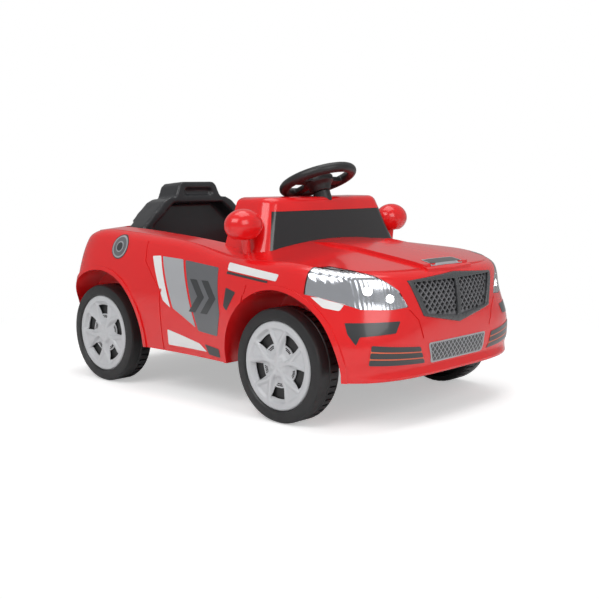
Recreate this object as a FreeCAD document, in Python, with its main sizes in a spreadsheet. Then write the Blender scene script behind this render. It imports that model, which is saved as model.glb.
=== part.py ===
import FreeCAD
import Part
import math
import os
import re
from types import SimpleNamespace

import Sketcher
from FreeCAD import Placement, Rotation, Vector

# Driving sizes: millimetres, degrees, counts and plan-curve powers.
SIZES = {
    # Whole car
    "wheelbase": 566,
    "front_overhang": 219,
    "rear_overhang": 167,
    "body_width": 596,
    "sill_height": 97,
    "skin": 3.5,
    "fit_gap": 0.3,
    # Body sides, nose and tail
    "widest_height": 205,
    "belt_height": 350,
    "side_lean": 36,
    "sill_tuck": 10,
    "door_waist": 12,
    "nose_height": 190,
    "chin_tuck": 7,
    "brow_height": 300,
    "brow_rake": 18,
    "tail_rake": 60,
    "bumper_power": 3.6,
    "prow_power": 2.7,
    "tail_power": 5.2,
    "lip_reach": 7,
    "lip_depth": 9,
    # Upper surface
    "tail_crest": 338,
    "deck_crest": 361,
    "cockpit_crest": 347,
    "scuttle_crest": 341,
    "bonnet_crest": 332,
    "nose_crest": 299,
    "deck_crown": 13,
    "cockpit_crown": 19,
    "scuttle_crown": 33,
    "fender_crown": 14,
    "crown_half": 262,
    "shoulder_round": 18,
    "dome_rise": 6,
    "dome_rear_half": 96,
    "dome_front_half": 74,
    "dome_setback": 24,
    "dome_delay": 3,
    "dome_fade": 75,
    # Wheel arches and panel lines
    "arch_radius": 147,
    "arch_lip_width": 9,
    "rim_rise": 3,
    "line_width": 3,
    # Cockpit tub
    "tub_half": 204,
    "tub_setback": 47,
    "tub_round": 40,
    "bench_length": 266,
    "bench_height": 200,
    # Windscreen cowl
    "screen_setback": 105,
    "screen_step": 7,
    "screen_foot": 342,
    "screen_rake": 22,
    "cowl_height": 428,
    "cowl_depth": 116,
    "cowl_base_half": 212,
    "cowl_top_half": 178,
    "cowl_round": 11,
    "cowl_bend": 34,
    "screen_bulge": 6,
    "film_base_half": 195,
    "film_top_half": 175,
    "film_top": 400,
    "film_thick": 1.2,
    "dash_thick": 4,
    "dash_drop": 24,
    # Lamps and grille
    "lamp_depth": 9,
    "lens_thick": 3.5,
    "bulb_radius": 7,
    "grille_top": 288,
    "grille_corner": 279,
    "grille_cheek": 211,
    "grille_chin": 190,
    "grille_top_half": 141,
    "grille_cheek_half": 111,
    "grille_rim": 13,
    "grille_bar": 10,
    "mesh_pitch": 15,
    "mesh_bar": 3,
    # Seat
    "seat_half": 192,
    "seat_waist_half": 178,
    "shoulder_half": 97,
    "shoulder_height": 413,
    "headrest_half": 68,
    "headrest_top": 453,
    "seat_thick": 74,
    "seat_lean": 5,
    "seat_dish": 34,
    "wing_share_half": 46,
    "cushion_rise": 46,
    # Mirrors
    "mirror_out": 241,
    "mirror_height": 374,
    "mirror_x": 118,
    "mirror_long": 40,
    "mirror_round": 30,
    "mirror_back": 20,
    "glass_thick": 2,
    "stem_radius": 9,
    # Wheels
    "wheel_diameter": 224,
    "tyre_width": 60,
    "wheel_inset": 8,
    "tyre_round": 9,
    "tyre_wall": 12,
    "tread_count": 48,
    "tread_depth": 3,
    "tread_gap": 5,
    "tread_start": 31,
    "cap_radius": 87,
    "cap_recess": 14,
    "cap_thick": 4,
    "spoke_count": 5,
    "axle_radius": 5,
    "axle_gap": 0.08,
    "bush_radius": 9,
    "bush_stand": 6,
    "nut_radius": 11,
    "nut_thick": 7,
    "axle_short": 16,
    # Steering
    "steering_x": 101,
    "steering_height": 463,
    "column_tilt": 22,
    "rim_diameter": 175,
    "rim_thick": 22,
    "hub_radius": 34,
    "hub_rise": 8,
    "boss_radius": 17,
    "boss_length": 28,
    "skirt_radius": 26,
    "spoke_width": 20,
    "button_radius": 9,
    "button_rise": 4,
    "button_offset": 17,
    "button_travel": 3,
    "column_radius": 5,
    "column_length": 348,
    "crank_length": 30,
    "crank_pin": 4,
    "pin_length": 26,
    "arm_length": 53,
    "kingpin_setin": 30,
    "kingpin_radius": 5,
    "tie_height": 114,
    "tie_thick": 8,
    "tie_width": 18,
    "slot_slack": 1.3,
    "slot_run": 9,
    "beam_width": 28,
    "beam_height": 22,
    "boss_height": 26,
    "yoke_thick": 7,
    # Underbody and drive
    "pan_thick": 4,
    "pan_front_half": 156,
    "pan_mid_half": 266,
    "pan_rear_half": 212,
    "case_inner": 168,
    "case_width": 46,
    "case_wall": 2.5,
    "drive_teeth": 36,
    "pinion_teeth": 12,
    "drive_module": 1.75,
    "motor_module": 1.5,
    "motor_radius": 18,
    "motor_length": 54,
    "battery_length": 151,
    "battery_width": 50,
    "battery_height": 92,
    # Pedal and switches
    "pedal_length": 96,
    "pedal_width": 62,
    "pedal_thick": 6,
    "pedal_tilt": 24,
    "pedal_offset": 70,
    "pedal_pin": 3,
    "switch_width": 15,
    "switch_height": 21,
    "switch_offset": 58,
    "socket_radius": 3.2,
    "socket_out": 152,
    "rocker_pin": 1.2,
}

doc = FreeCAD.newDocument("RideOnCar")
sheet = doc.addObject("Spreadsheet::Sheet", "Sizes")
for row, (alias, amount) in enumerate(SIZES.items(), 1):
    sheet.set(f"A{row}", alias)
    sheet.set(f"B{row}", str(amount))
    sheet.setAlias(f"B{row}", alias)
doc.recompute()
size = SimpleNamespace(**{alias: float(sheet.get(alias)) for alias in SIZES})

# Places that follow from the driving sizes, as expressions for bound objects.
FRONT_X = "((wheelbase + rear_overhang - front_overhang) / 2)"
REAR_X = "(-(wheelbase + front_overhang - rear_overhang) / 2)"
AXLE_Z = "(wheel_diameter / 2)"
WHEEL_FACE = "(body_width / 2 - wheel_inset)"
WHEEL_BACK = "(body_width / 2 - wheel_inset - tyre_width)"
KINGPIN_Y = "(body_width / 2 - wheel_inset - tyre_width - kingpin_setin)"
PAN_TOP = "(sill_height + pan_thick)"
SIDES = {"right": -1, "left": 1}
X_AXIS = Vector(1, 0, 0)
Y_AXIS = Vector(0, 1, 0)
Z_AXIS = Vector(0, 0, 1)


def bound(text):
    """Write plain size names as references to the sheet."""
    return re.sub(r"[a-z][a-z_]*[a-z]", lambda m: "Sizes." + m[0] if m[0] in SIZES else m[0], text)


def number(text):
    """Present value of an expression in size names."""
    return float(sheet.evalExpression(bound(text)))


# The same places as numbers, for the free-form shapes.
front_x = number(FRONT_X)
rear_x = number(REAR_X)
axle_z = number(AXLE_Z)
nose_x = front_x + size.front_overhang
tail_x = rear_x - size.rear_overhang
wheel_face = number(WHEEL_FACE)
wheel_back = number(WHEEL_BACK)
kingpin_y = number(KINGPIN_Y)
pan_top = number(PAN_TOP)
screen_x = front_x - size.screen_setback
dome_full = front_x - size.dome_delay
dome_back = dome_full - size.dome_fade
cowl_back = screen_x - size.cowl_depth

nodes = []


def place(item, at, turn=None):
    """Bind an object's position, after giving it a turn about an axis."""
    if turn:
        axis, angle = turn
        item.Placement = Placement(Vector(), Rotation(axis, 1))
        item.setExpression("Placement.Rotation.Angle", bound(angle))
    for letter, value in zip("xyz", at):
        item.setExpression("Placement.Base." + letter, bound(value))
    return item


def make(kind, name, at=("0", "0", "0"), turn=None, **props):
    """A primitive whose sizes and place are bound to the sheet."""
    item = doc.addObject(kind, name)
    item.Label = name
    for prop, value in props.items():
        item.setExpression(prop, bound(value))
    return place(item, at, turn)


def block(name, extent, centre):
    """A box given by its extent and centre."""
    corner = [f"{c} - ({e}) / 2" for c, e in zip(centre, extent)]
    return make("Part::Box", name, corner, Length=extent[0], Width=extent[1], Height=extent[2])


def rod(name, radius, length, at, turn=None):
    return make("Part::Cylinder", name, at, turn, Radius=radius, Height=length)


def cross_rod(name, radius, length, at, side):
    """A cylinder that runs outward along Y on the given side."""
    axis = X_AXIS if side < 0 else -X_AXIS
    return rod(name, radius, length, at, (axis, "90"))


def fuse(name, *items):
    item = doc.addObject("Part::MultiFuse", name)
    item.Label = name
    item.Shapes = list(items)
    return item


def cut(name, base, *tools):
    item = doc.addObject("Part::Cut", name)
    item.Label = name
    item.Base = base
    item.Tool = tools[0] if len(tools) == 1 else fuse(name + "_tools", *tools)
    return item


def group(name, *items):
    item = doc.addObject("Part::Compound", name)
    item.Label = name
    item.Links = list(items)
    return item


def form(name, shape):
    """A free-form piece whose shape is worked out from the sheet's sizes."""
    item = doc.addObject("Part::Feature", name)
    item.Label = name
    item.Shape = shape
    return node(item)


def node(item):
    nodes.append(item)
    return item


def body(name, at=("0", "0", "0"), turn=None):
    item = doc.addObject("PartDesign::Body", name)
    item.Label = name
    return place(item, at, turn)


def sketch(holder, role, name, lift=None):
    item = holder.newObject("Sketcher::SketchObject", name)
    plane = next(f for f in holder.Origin.OriginFeatures if f.Role == role)
    item.AttachmentSupport = [(plane, "")]
    item.MapMode = "FlatFace"
    if lift:
        item.setExpression("AttachmentOffset.Base.z", bound(lift))
    return item


def pin_point(profile, geometry, point, across, along):
    for kind, value in (("DistanceX", across), ("DistanceY", along)):
        if value == "0":
            axis = -2 if kind == "DistanceX" else -1
            profile.addConstraint(Sketcher.Constraint("PointOnObject", geometry, point, axis))
            continue
        rule = profile.addConstraint(Sketcher.Constraint(kind, -1, 1, geometry, point, number(value)))
        profile.setExpression(f"Constraints[{rule}]", bound(value))


def outline(profile, corners):
    """A closed polygon with every corner bound."""
    first = profile.GeometryCount
    spots = [Vector(number(across), number(along), 0) for across, along in corners]
    for start, end in zip(spots, spots[1:] + spots[:1]):
        profile.addGeometry(Part.LineSegment(start, end))
    count = len(corners)
    for index in range(count):
        follower = first + (index + 1) % count
        profile.addConstraint(Sketcher.Constraint("Coincident", first + index, 2, follower, 1))
    for index, (across, along) in enumerate(corners):
        pin_point(profile, first + index, 1, across, along)


def circle(profile, radius, across="0", along="0"):
    centre = Vector(number(across), number(along), 0)
    index = profile.addGeometry(Part.Circle(centre, Z_AXIS, number(radius)))
    pin_point(profile, index, 3, across, along)
    rule = profile.addConstraint(Sketcher.Constraint("Radius", index, number(radius)))
    profile.setExpression(f"Constraints[{rule}]", bound(radius))


def extrude(holder, kind, name, profile, length, reverse=False, middle=False):
    item = holder.newObject("PartDesign::" + kind, name)
    item.Profile = profile
    item.setExpression("Length", bound(length))
    item.Reversed = reverse
    item.Midplane = middle
    return item


def revolve(holder, name, profile):
    item = holder.newObject("PartDesign::Revolution", name)
    item.Profile = profile
    item.ReferenceAxis = (profile, ["V_Axis"])
    item.Angle = 360
    return item


def repeat_round(holder, name, feature, count):
    item = holder.newObject("PartDesign::PolarPattern", name)
    item.Originals = [feature]
    axis = next(f for f in holder.Origin.OriginFeatures if f.Role == "Z_Axis")
    item.Axis = (axis, [""])
    item.Angle = 360
    item.setExpression("Occurrences", bound(count))
    holder.Tip = item
    return item


# Body surface


def blend(value, start, end):
    """Smooth step from 0 at start to 1 at end."""
    share = min(1.0, max(0.0, (value - start) / (end - start)))
    return share * share * (3 - 2 * share)


def side_half(z):
    widest = size.body_width / 2
    if z > size.widest_height:
        rise = (z - size.widest_height) / (size.belt_height - size.widest_height)
        return widest - size.side_lean * rise ** 2
    return widest - size.sill_tuck * ((size.widest_height - z) / (size.widest_height - size.sill_height)) ** 2


def nose_reach(z):
    if z > size.nose_height:
        return size.front_overhang - size.brow_rake * (
            (z - size.nose_height) / (size.brow_height - size.nose_height)) ** 2
    drop = size.chin_tuck * ((size.nose_height - z) / (size.nose_height - size.sill_height)) ** 2
    return size.front_overhang - drop


def tail_reach(z):
    rise = max(0.0, (z - size.sill_height) / (size.belt_height - size.sill_height))
    return size.rear_overhang - size.tail_rake * rise


def nose_power(z):
    return size.bumper_power + (size.prow_power - size.bumper_power) * blend(z, 150, 235)


QUARTER_STEPS = 8
WAIST_STEPS = 4
FLANK_STEPS = 2 * QUARTER_STEPS + WAIST_STEPS


def flank_point(index, z, inset):
    """Plan point of one flank at height z: nose quarter, then waist, then tail quarter."""
    half = side_half(z) - inset
    if index <= QUARTER_STEPS:
        turn = math.pi / 2 * index / QUARTER_STEPS
        lip = size.lip_reach * math.exp(-((z - size.sill_height - 4) / size.lip_depth) ** 2)
        reach = nose_reach(z) - inset + lip * math.cos(turn)
        power = 2 / nose_power(z)
        return front_x + reach * math.cos(turn) ** power, half * math.sin(turn) ** power
    if index < QUARTER_STEPS + WAIST_STEPS:
        share = (index - QUARTER_STEPS) / WAIST_STEPS
        return front_x - size.wheelbase * share, half - size.door_waist * math.sin(math.pi * share) ** 2
    turn = math.pi / 2 * (1 - (index - QUARTER_STEPS - WAIST_STEPS) / QUARTER_STEPS)
    power = 2 / size.tail_power
    return rear_x - (tail_reach(z) - inset) * math.cos(turn) ** power, half * math.sin(turn) ** power


def round_loop(flank):
    """Closed loop of points from one flank and its mirror image, starting at the middle of the tail."""
    return [(x, y, *z) for x, y, *z in reversed(flank)] + [(x, -y, *z) for x, y, *z in flank[1:-1]]


def loop_lengths():
    """Running length round the widest plan curve, shared by every ring."""
    loop = round_loop([flank_point(i, size.widest_height, 0) for i in range(FLANK_STEPS + 1)])
    lengths = [0.0]
    for start, end in zip(loop, loop[1:] + loop[:1]):
        lengths.append(lengths[-1] + math.dist(start, end))
    return lengths


RING_LENGTHS = loop_lengths()


def ring(flank):
    curve = Part.BSplineCurve()
    points = [Vector(*point) for point in round_loop(flank)]
    curve.interpolate(Points=points, PeriodicFlag=True, Parameters=RING_LENGTHS)
    return Part.Wire([curve.toShape()])


def along(x, table):
    """Straight-line reading of a table of places and values."""
    for (x0, v0), (x1, v1) in zip(table, table[1:]):
        if x <= x1:
            return v0 + (v1 - v0) * (x - x0) / (x1 - x0)
    return table[-1][1]


EASE_SPAN = 45
EASE_STEPS = 9


def eased(x, table):
    """Table reading averaged over a span, so that its corners become curves."""
    offsets = [EASE_SPAN * (2 * step / (EASE_STEPS - 1) - 1) for step in range(EASE_STEPS)]
    return sum(along(x + offset, table) for offset in offsets) / EASE_STEPS


CREST = [
    (tail_x - 50, size.tail_crest - 36),
    (tail_x + 36, size.tail_crest),
    (rear_x - 67, size.deck_crest),
    (rear_x + 60, size.deck_crest),
    (cowl_back, size.cockpit_crest),
    (screen_x, size.scuttle_crest),
    (front_x, size.bonnet_crest),
    (nose_x - 24, size.nose_crest),
    (nose_x + 60, size.nose_crest - 30),
]
CROWN = [
    (tail_x - 50, size.deck_crown),
    (rear_x, size.deck_crown),
    (cowl_back - 93, size.cockpit_crown),
    (screen_x - 30, size.scuttle_crown),
    (screen_x + 8, size.scuttle_crown),
    (front_x + 39, size.fender_crown),
    (nose_x + 60, size.fender_crown),
]
SHEET_STATIONS = 17
SHEET_ROWS = 9


def top_height(x, y):
    return eased(x, CREST) - eased(x, CROWN) * (abs(y) / size.crown_half) ** 2


def top_sheet(inset):
    """Crowned surface of bonnet, waist and deck, let down by inset."""
    start, end = CREST[0][0], CREST[-1][0]
    reach = 0.57 * size.body_width
    rows = []
    for station in range(SHEET_STATIONS):
        x = start + (end - start) * station / (SHEET_STATIONS - 1)
        across = [reach * (2 * row / (SHEET_ROWS - 1) - 1) for row in range(SHEET_ROWS)]
        rows.append([Vector(x, y, top_height(x, y) - inset) for y in across])
    surface = Part.BSplineSurface()
    surface.interpolate(rows)
    return surface.toShape()


# Heights of the side rings as shares of the wall, then angles up the rounded shoulder.
WALL_SHARES = [0, 0.035, 0.075, 0.14, 0.3, 0.5, 0.75]
SHOULDER_ANGLES = [0, 20, 40, 60, 80]
LEAST_ROUND = 4
SHOULDER_LIFT = 1.6


def ring_flank(share, angle, inset):
    """Flank of one ring, whose shoulder follows the height of the crowned surface."""
    radius = max(LEAST_ROUND, size.shoulder_round - inset)
    turn = math.radians(angle)
    low = size.sill_height
    flank = []
    for index in range(FLANK_STEPS + 1):
        z = size.brow_height
        for _ in range(6):
            x, y = flank_point(index, z, inset)
            foot = top_height(x, y) - inset - radius + SHOULDER_LIFT
            z = low + share * (foot - low) + radius * math.sin(turn)
        x, y = flank_point(index, z, inset + radius * (1 - math.cos(turn)))
        flank.append((x, y, z))
    return flank


body_cache = {}


def body_form(inset):
    """Closed solid of the whole body, drawn in by inset on every side but the open bottom."""
    if inset in body_cache:
        return body_cache[inset]
    flanks = [ring_flank(share, 0, inset) for share in WALL_SHARES]
    flanks += [ring_flank(1, angle, inset) for angle in SHOULDER_ANGLES]
    rings = [ring(flank) for flank in flanks]
    foot = ring([(x, y, z - size.skin) for x, y, z in flanks[0]])
    lid = ring([(x, y, size.deck_crest + 40) for x, y, _ in flanks[-1]])
    wall = Part.makeLoft(rings, False, False)
    rise = Part.makeLoft([rings[-1], lid], False, True)
    base = Part.makeLoft([foot, rings[0]], False, True)
    skin = Part.makeShell(base.Faces + wall.Faces + rise.Faces + [Part.Face(foot), Part.Face(lid)])
    skin.sewShape(0.01)
    solid = Part.makeSolid(skin)
    if solid.Volume < 0:
        solid.reverse()
    under = top_sheet(inset).extrude(Vector(0, 0, -size.deck_crest))
    solid = solid.common(under)
    if inset <= 0:
        solid = solid.common(span_box(tail_x - 90, nose_x + 90, -size.body_width, size.body_width,
                                      size.sill_height, size.deck_crest + 90))
    body_cache[inset] = solid.Solids[0]
    return body_cache[inset]


def span_box(x0, x1, y0, y1, z0, z1):
    return Part.makeBox(x1 - x0, y1 - y0, z1 - z0, Vector(x0, y0, z0))


def rounded_box(x0, x1, y0, y1, z0, z1, radius):
    box = span_box(x0, x1, y0, y1, z0, z1)
    upright = [e for e in box.Edges if e.BoundBox.ZLength > 0.9 * (z1 - z0) and e.BoundBox.XLength < 1]
    return box.makeFillet(radius, upright)


def prism(points, run):
    """Solid swept from a closed polygon of points."""
    return Part.Face(Part.makePolygon(points + points[:1])).extrude(run)


def mirrored(shape):
    return shape.mirror(Vector(), Y_AXIS)


def wheel_cylinder(x, radius, inner, side):
    depth = size.body_width
    return Part.makeCylinder(radius, depth, Vector(x, side * inner, axle_z), Vector(0, side, 0))


front_wall = kingpin_y - 35
rear_wall = wheel_back - 8
TUNNELS = [(front_x, front_wall), (rear_x, rear_wall)]


def both_sides(shape):
    return [shape, mirrored(shape)]


# Lamp and grille outlines in front view, as (y, z) on the right side.
headlight_outline = [
    (-300, 303), (-236, 306), (-200, 291), (-163, 262), (-146, 231), (-180, 228), (-236, 231), (-300, 262),
]
tail_outline = [(-290, 298), (-205, 293), (-150, 276), (-158, 256), (-215, 252), (-290, 260)]


def lamp_region(points, x0, x1, grow=0.0):
    """Prism along X through a lamp outline, grown or shrunk about its middle."""
    cy = sum(y for y, _ in points) / len(points)
    cz = sum(z for _, z in points) / len(points)
    ring = []
    for y, z in points:
        reach = math.hypot(y - cy, z - cz)
        scale = (reach + grow) / reach
        ring.append(Vector(x0, cy + (y - cy) * scale, cz + (z - cz) * scale))
    return prism(ring, Vector(x1 - x0, 0, 0))


def layer(region, outer, inner):
    """Part of a region between two depths of the body surface."""
    return region.common(body_form(outer)).cut(body_form(inner))


HEADLIGHT_X = (front_x + 70, nose_x + 40)
TAIL_X = (tail_x - 40, rear_x - 92)
LAMPS = {"headlight": (headlight_outline, HEADLIGHT_X), "tail": (tail_outline, TAIL_X)}
GRILLE_OUTLINE = [
    (-size.grille_top_half, size.grille_corner),
    (0, size.grille_top),
    (size.grille_top_half, size.grille_corner),
    (size.grille_cheek_half, size.grille_cheek),
    (0, size.grille_chin),
    (-size.grille_cheek_half, size.grille_cheek),
]


def grille_region(grow):
    return lamp_region(GRILLE_OUTLINE, front_x + 120, nose_x + 40, grow)


# Panel lines as (x, z) polylines on the body side, and (y, z) on the nose.
DOOR_LINES = [
    [(-161, 330), (-152, 288), (-96, 229), (-96, 90)],
    [(176, 262), (168, 230), (131, 123), (126, 90)],
]
NOSE_LINE = [(-146, 226), (-126, 206), (-114, 170)]


def ribbon(points, depth_run):
    """Slab of the line width that follows a polyline, swept by depth_run."""
    edges = ([], [])
    for index, spot in enumerate(points):
        before = points[max(index - 1, 0)]
        after = points[min(index + 1, len(points) - 1)]
        across = (after - before).cross(depth_run)
        across = across * (size.line_width / 2 / across.Length)
        edges[0].append(spot - across)
        edges[1].append(spot + across)
    return prism(edges[0] + edges[1][::-1], depth_run)


def panel_lines():
    deep = size.body_width
    tools = []
    for points in DOOR_LINES:
        line = [Vector(x, -deep, z) for x, z in points]
        tools.append(ribbon(line, Vector(0, deep - 200, 0)))
    nose = [Vector(front_x + 120, y, z) for y, z in NOSE_LINE]
    tools.append(ribbon(nose, Vector(deep, 0, 0)))
    tools = [tool.cut(body_form(size.skin / 2)) for tool in tools]
    return tools + [mirrored(tool) for tool in tools]


def dome_fade():
    """Wedge above the line along which the bonnet's raised middle fades out towards the screen."""
    low = top_height(dome_back, 0) - 3
    high = top_height(dome_full, 0) + size.dome_rise + 1
    corners = [(dome_back, low), (dome_full, high), (dome_full, high + 60), (dome_back, high + 60)]
    half = size.dome_rear_half + 10
    return prism([Vector(x, -half, z) for x, z in corners], Vector(0, 2 * half, 0))


def dome_form():
    """Raised middle of the bonnet, between its two creases."""
    back = dome_back
    front = nose_x - size.dome_setback
    plan = [
        Vector(back, -size.dome_rear_half, 250),
        Vector(front, -size.dome_front_half, 250),
        Vector(front + 5, 0, 250),
        Vector(front, size.dome_front_half, 250),
        Vector(back, size.dome_rear_half, 250),
    ]
    return prism(plan, Vector(0, 0, 200)).common(body_form(-size.dome_rise)).cut(dome_fade())


def tub_form(grow):
    """Cockpit space over the bench and down into the footwell."""
    back = rear_x - size.tub_setback - grow
    bench_front = rear_x - size.tub_setback + size.bench_length - grow
    foot_front = front_x - size.arch_radius - 2 * size.skin - 2 + grow
    half = size.tub_half + grow
    top = size.deck_crest + 60
    bend = size.tub_round - size.skin + grow
    floor = pan_top + size.skin - grow
    seat_space = rounded_box(back, foot_front, -half, half, size.bench_height - grow, top, bend)
    leg_space = rounded_box(bench_front, foot_front, -half, half, floor, top, bend)
    return seat_space.fuse(leg_space).removeSplitter()


def body_shell():
    """Skin of the body with its tub, wheel tunnels, lamp and grille pockets, dome and panel lines."""
    outer = body_form(0)
    skin = size.skin
    shell = outer.cut(body_form(skin))
    shell = shell.fuse(tub_form(skin).common(outer))
    lips = body_form(-size.rim_rise)
    tunnels, rims, hollows = [], [], []
    for x, wall in TUNNELS:
        for side in SIDES.values():
            tunnels.append(wheel_cylinder(x, size.arch_radius + skin, wall - skin, side).common(outer))
            rim = wheel_cylinder(x, size.arch_radius + size.arch_lip_width, wheel_back, side)
            rims.append(rim.common(lips).cut(body_form(skin / 2)))
            hub_hole = wheel_cylinder(x, size.boss_radius, wall - 3 * skin, side)
            hollows.append(wheel_cylinder(x, size.arch_radius, wall, side).fuse(hub_hole))
    shell = shell.fuse(tunnels).fuse(rims)
    openings = []
    for points, (x0, x1) in LAMPS.values():
        shell = shell.fuse(both_sides(layer(lamp_region(points, x0, x1, skin), 0, size.lamp_depth + skin)))
        openings += both_sides(lamp_region(points, x0, x1).cut(body_form(size.lamp_depth)))
    shell = shell.fuse(layer(grille_region(skin), 0, size.lamp_depth + skin))
    openings.append(grille_region(0).cut(body_form(size.lamp_depth)))
    shell = shell.fuse(dome_form().cut(body_form(skin / 2)))
    shell = shell.cut(tub_form(0)).cut(hollows).cut(openings).cut(panel_lines())
    windows = []
    for side in SIDES.values():
        y0, y1 = sorted((side * (front_wall - 3 * skin), side * (front_wall + skin)))
        windows.append(span_box(front_x - size.arm_length - 30, front_x + size.beam_width / 2 + 4, y0, y1,
                                size.sill_height - 10, pan_top + size.boss_height + 14))
    shell = shell.cut(windows).cut(column_bore(size.column_radius + 7, 0, size.column_length))
    return max(shell.Solids, key=lambda solid: solid.Volume)


# Steering column frame: origin at the steering wheel's centre, local Z up the column.
column_turn = Rotation(Vector(0, -1, 0), size.column_tilt)
column_place = Placement(Vector(size.steering_x, 0, size.steering_height), column_turn)


def column_bore(radius, start, depth):
    """Cylinder down the column line from start to depth below the wheel's centre."""
    shape = Part.makeCylinder(radius, depth - start, Vector(0, 0, -depth))
    shape.Placement = column_place
    return shape


form("body_shell", body_shell())


# Windscreen cowl, its film and the dash panel


def cowl_ring(z, inset):
    """Plan outline of the cowl at height z: a rounded box, narrower and further back as it rises."""
    rise = (z - size.screen_foot) / (size.cowl_height - size.screen_foot)
    front = screen_x + size.screen_step - size.screen_rake * rise - inset
    back = cowl_back + inset
    half = size.cowl_base_half + (size.cowl_top_half - size.cowl_base_half) * rise - inset
    bend = size.cowl_bend - inset
    slant = bend * (1 - math.sqrt(0.5))
    bulge = size.screen_bulge
    arcs = [
        Part.Arc(Vector(front - bulge, bend - half, z), Vector(front, 0, z),
                 Vector(front - bulge, half - bend, z)),
        Part.Arc(Vector(front - bulge, half - bend, z), Vector(front - bulge - slant, half - slant, z),
                 Vector(front - bulge - bend, half, z)),
        Part.LineSegment(Vector(front - bulge - bend, half, z), Vector(back, half, z)),
        Part.LineSegment(Vector(back, half, z), Vector(back, -half, z)),
        Part.LineSegment(Vector(back, -half, z), Vector(front - bulge - bend, -half, z)),
        Part.Arc(Vector(front - bulge - bend, -half, z), Vector(front - bulge - slant, slant - half, z),
                 Vector(front - bulge, bend - half, z)),
    ]
    return Part.Wire([arc.toShape() for arc in arcs])


cowl_cache = {}


def cowl_form(inset):
    """Closed solid of the cowl down into the body, drawn in by inset, with a rounded top."""
    if inset in cowl_cache:
        return cowl_cache[inset]
    low = size.scuttle_crest - size.scuttle_crown - 20
    high = size.cowl_height - inset
    radius = max(LEAST_ROUND, size.cowl_round - inset)
    rings = [cowl_ring(low, inset), cowl_ring(high - radius, inset)]
    straight = Part.makeLoft(rings, True, True)
    crown = [rings[1]]
    for angle in SHOULDER_ANGLES[1:] + [90]:
        turn = math.radians(angle)
        level = high - radius + radius * math.sin(turn)
        crown.append(cowl_ring(level, inset + radius * (1 - math.cos(turn))))
    cowl_cache[inset] = straight.fuse(Part.makeLoft(crown, True, True)).Solids[0]
    return cowl_cache[inset]


def film_region(grow):
    """Prism through the screen, wider at its foot."""
    foot, top = size.screen_foot - 40, size.film_top + grow
    slope = (size.film_base_half - size.film_top_half) / (size.film_top - size.screen_foot)
    base, head = size.film_base_half + 40 * slope + grow, size.film_top_half + grow
    corners = [(-base, foot), (-head, top), (head, top), (base, foot)]
    return prism([Vector(screen_x - 60, y, z) for y, z in corners], Vector(120, 0, 0))


def windscreen_cowl():
    shape = cowl_form(0).cut(cowl_form(size.skin)).cut(body_form(0))
    half = size.cowl_top_half - 2 * size.skin
    open_top = size.cowl_height - size.cowl_round - size.skin
    open_back = span_box(cowl_back - 20, cowl_back + 2 * size.skin, -half, half, 0, open_top)
    bush_hole = column_bore(BUSH_OUTER + size.fit_gap, 0, size.column_length)
    film_seat = film_region(0).cut(cowl_form(size.film_thick))
    shape = shape.cut(open_back).cut(film_seat).cut(bush_hole)
    return max(shape.Solids, key=lambda solid: solid.Volume)


def windscreen_film():
    shape = film_region(-size.fit_gap).common(cowl_form(0)).cut(cowl_form(size.film_thick))
    shape = shape.cut(body_form(0))
    return max(shape.Solids, key=lambda solid: solid.Volume)


BUSH_OUTER = 9
BUSH_LIP = 19


def column_bush():
    """Grommet that sits on the cowl's top, with a sleeve down through its hole."""
    start = size.boss_length + 1.5
    collar = column_bore(BUSH_LIP, start, start + 24).cut(cowl_form(0))
    collar = max(collar.Solids, key=lambda solid: solid.Volume)
    sleeve = column_bore(BUSH_OUTER, start, start + 30)
    shape = collar.fuse(sleeve).cut(column_bore(size.column_radius + size.axle_gap, 0, 120))
    return max(shape.Solids, key=lambda solid: solid.Volume)


form("windscreen_cowl", windscreen_cowl())
form("column_bush", column_bush())
form("windscreen_film", windscreen_film())

# Dash panel with two rocker windows and the charge socket's hole, closing the back of the cowl
DASH_X = f"({FRONT_X} - screen_setback - cowl_depth + skin)"
DASH_Z = "(screen_foot + (cowl_height - screen_foot) / 2)"
DASH_HALF = "(cowl_top_half - 2 * skin - fit_gap)"
DASH_TOP = "(cowl_height - cowl_round - skin - fit_gap)"
DASH_LOW = "(screen_foot - dash_drop)"
dash = body("dash_panel", (DASH_X, "0", "0"))
dash_face = sketch(dash, "YZ_Plane", "dash_outline")
outline(dash_face, [
    (f"-{DASH_HALF}", DASH_LOW),
    (DASH_HALF, DASH_LOW),
    (DASH_HALF, f"{DASH_TOP} - 12"),
    (f"{DASH_HALF} - 12", DASH_TOP),
    (f"12 - {DASH_HALF}", DASH_TOP),
    (f"-{DASH_HALF}", f"{DASH_TOP} - 12"),
])
extrude(dash, "Pad", "dash_pad", dash_face, "dash_thick")
windows = sketch(dash, "YZ_Plane", "dash_windows")
for side in SIDES.values():
    mid = f"({side} * switch_offset)"
    wide = "(switch_width / 2 + fit_gap)"
    tall = "(switch_height / 2 + fit_gap)"
    outline(windows, [
        (f"{mid} - {wide}", f"{DASH_Z} - {tall}"),
        (f"{mid} + {wide}", f"{DASH_Z} - {tall}"),
        (f"{mid} + {wide}", f"{DASH_Z} + {tall}"),
        (f"{mid} - {wide}", f"{DASH_Z} + {tall}"),
    ])
circle(windows, "socket_radius + 4", "0 - socket_out", DASH_Z)
extrude(dash, "Pocket", "dash_openings", windows, "dash_thick", reverse=True)
rocker_pin = sketch(dash, "XZ_Plane", "rocker_pin_profile")
circle(rocker_pin, "rocker_pin", "dash_thick / 2", DASH_Z)
extrude(dash, "Pad", "rocker_pins", rocker_pin, "2 * switch_offset + switch_width + 2 * fit_gap", middle=True)
node(dash)

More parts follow.
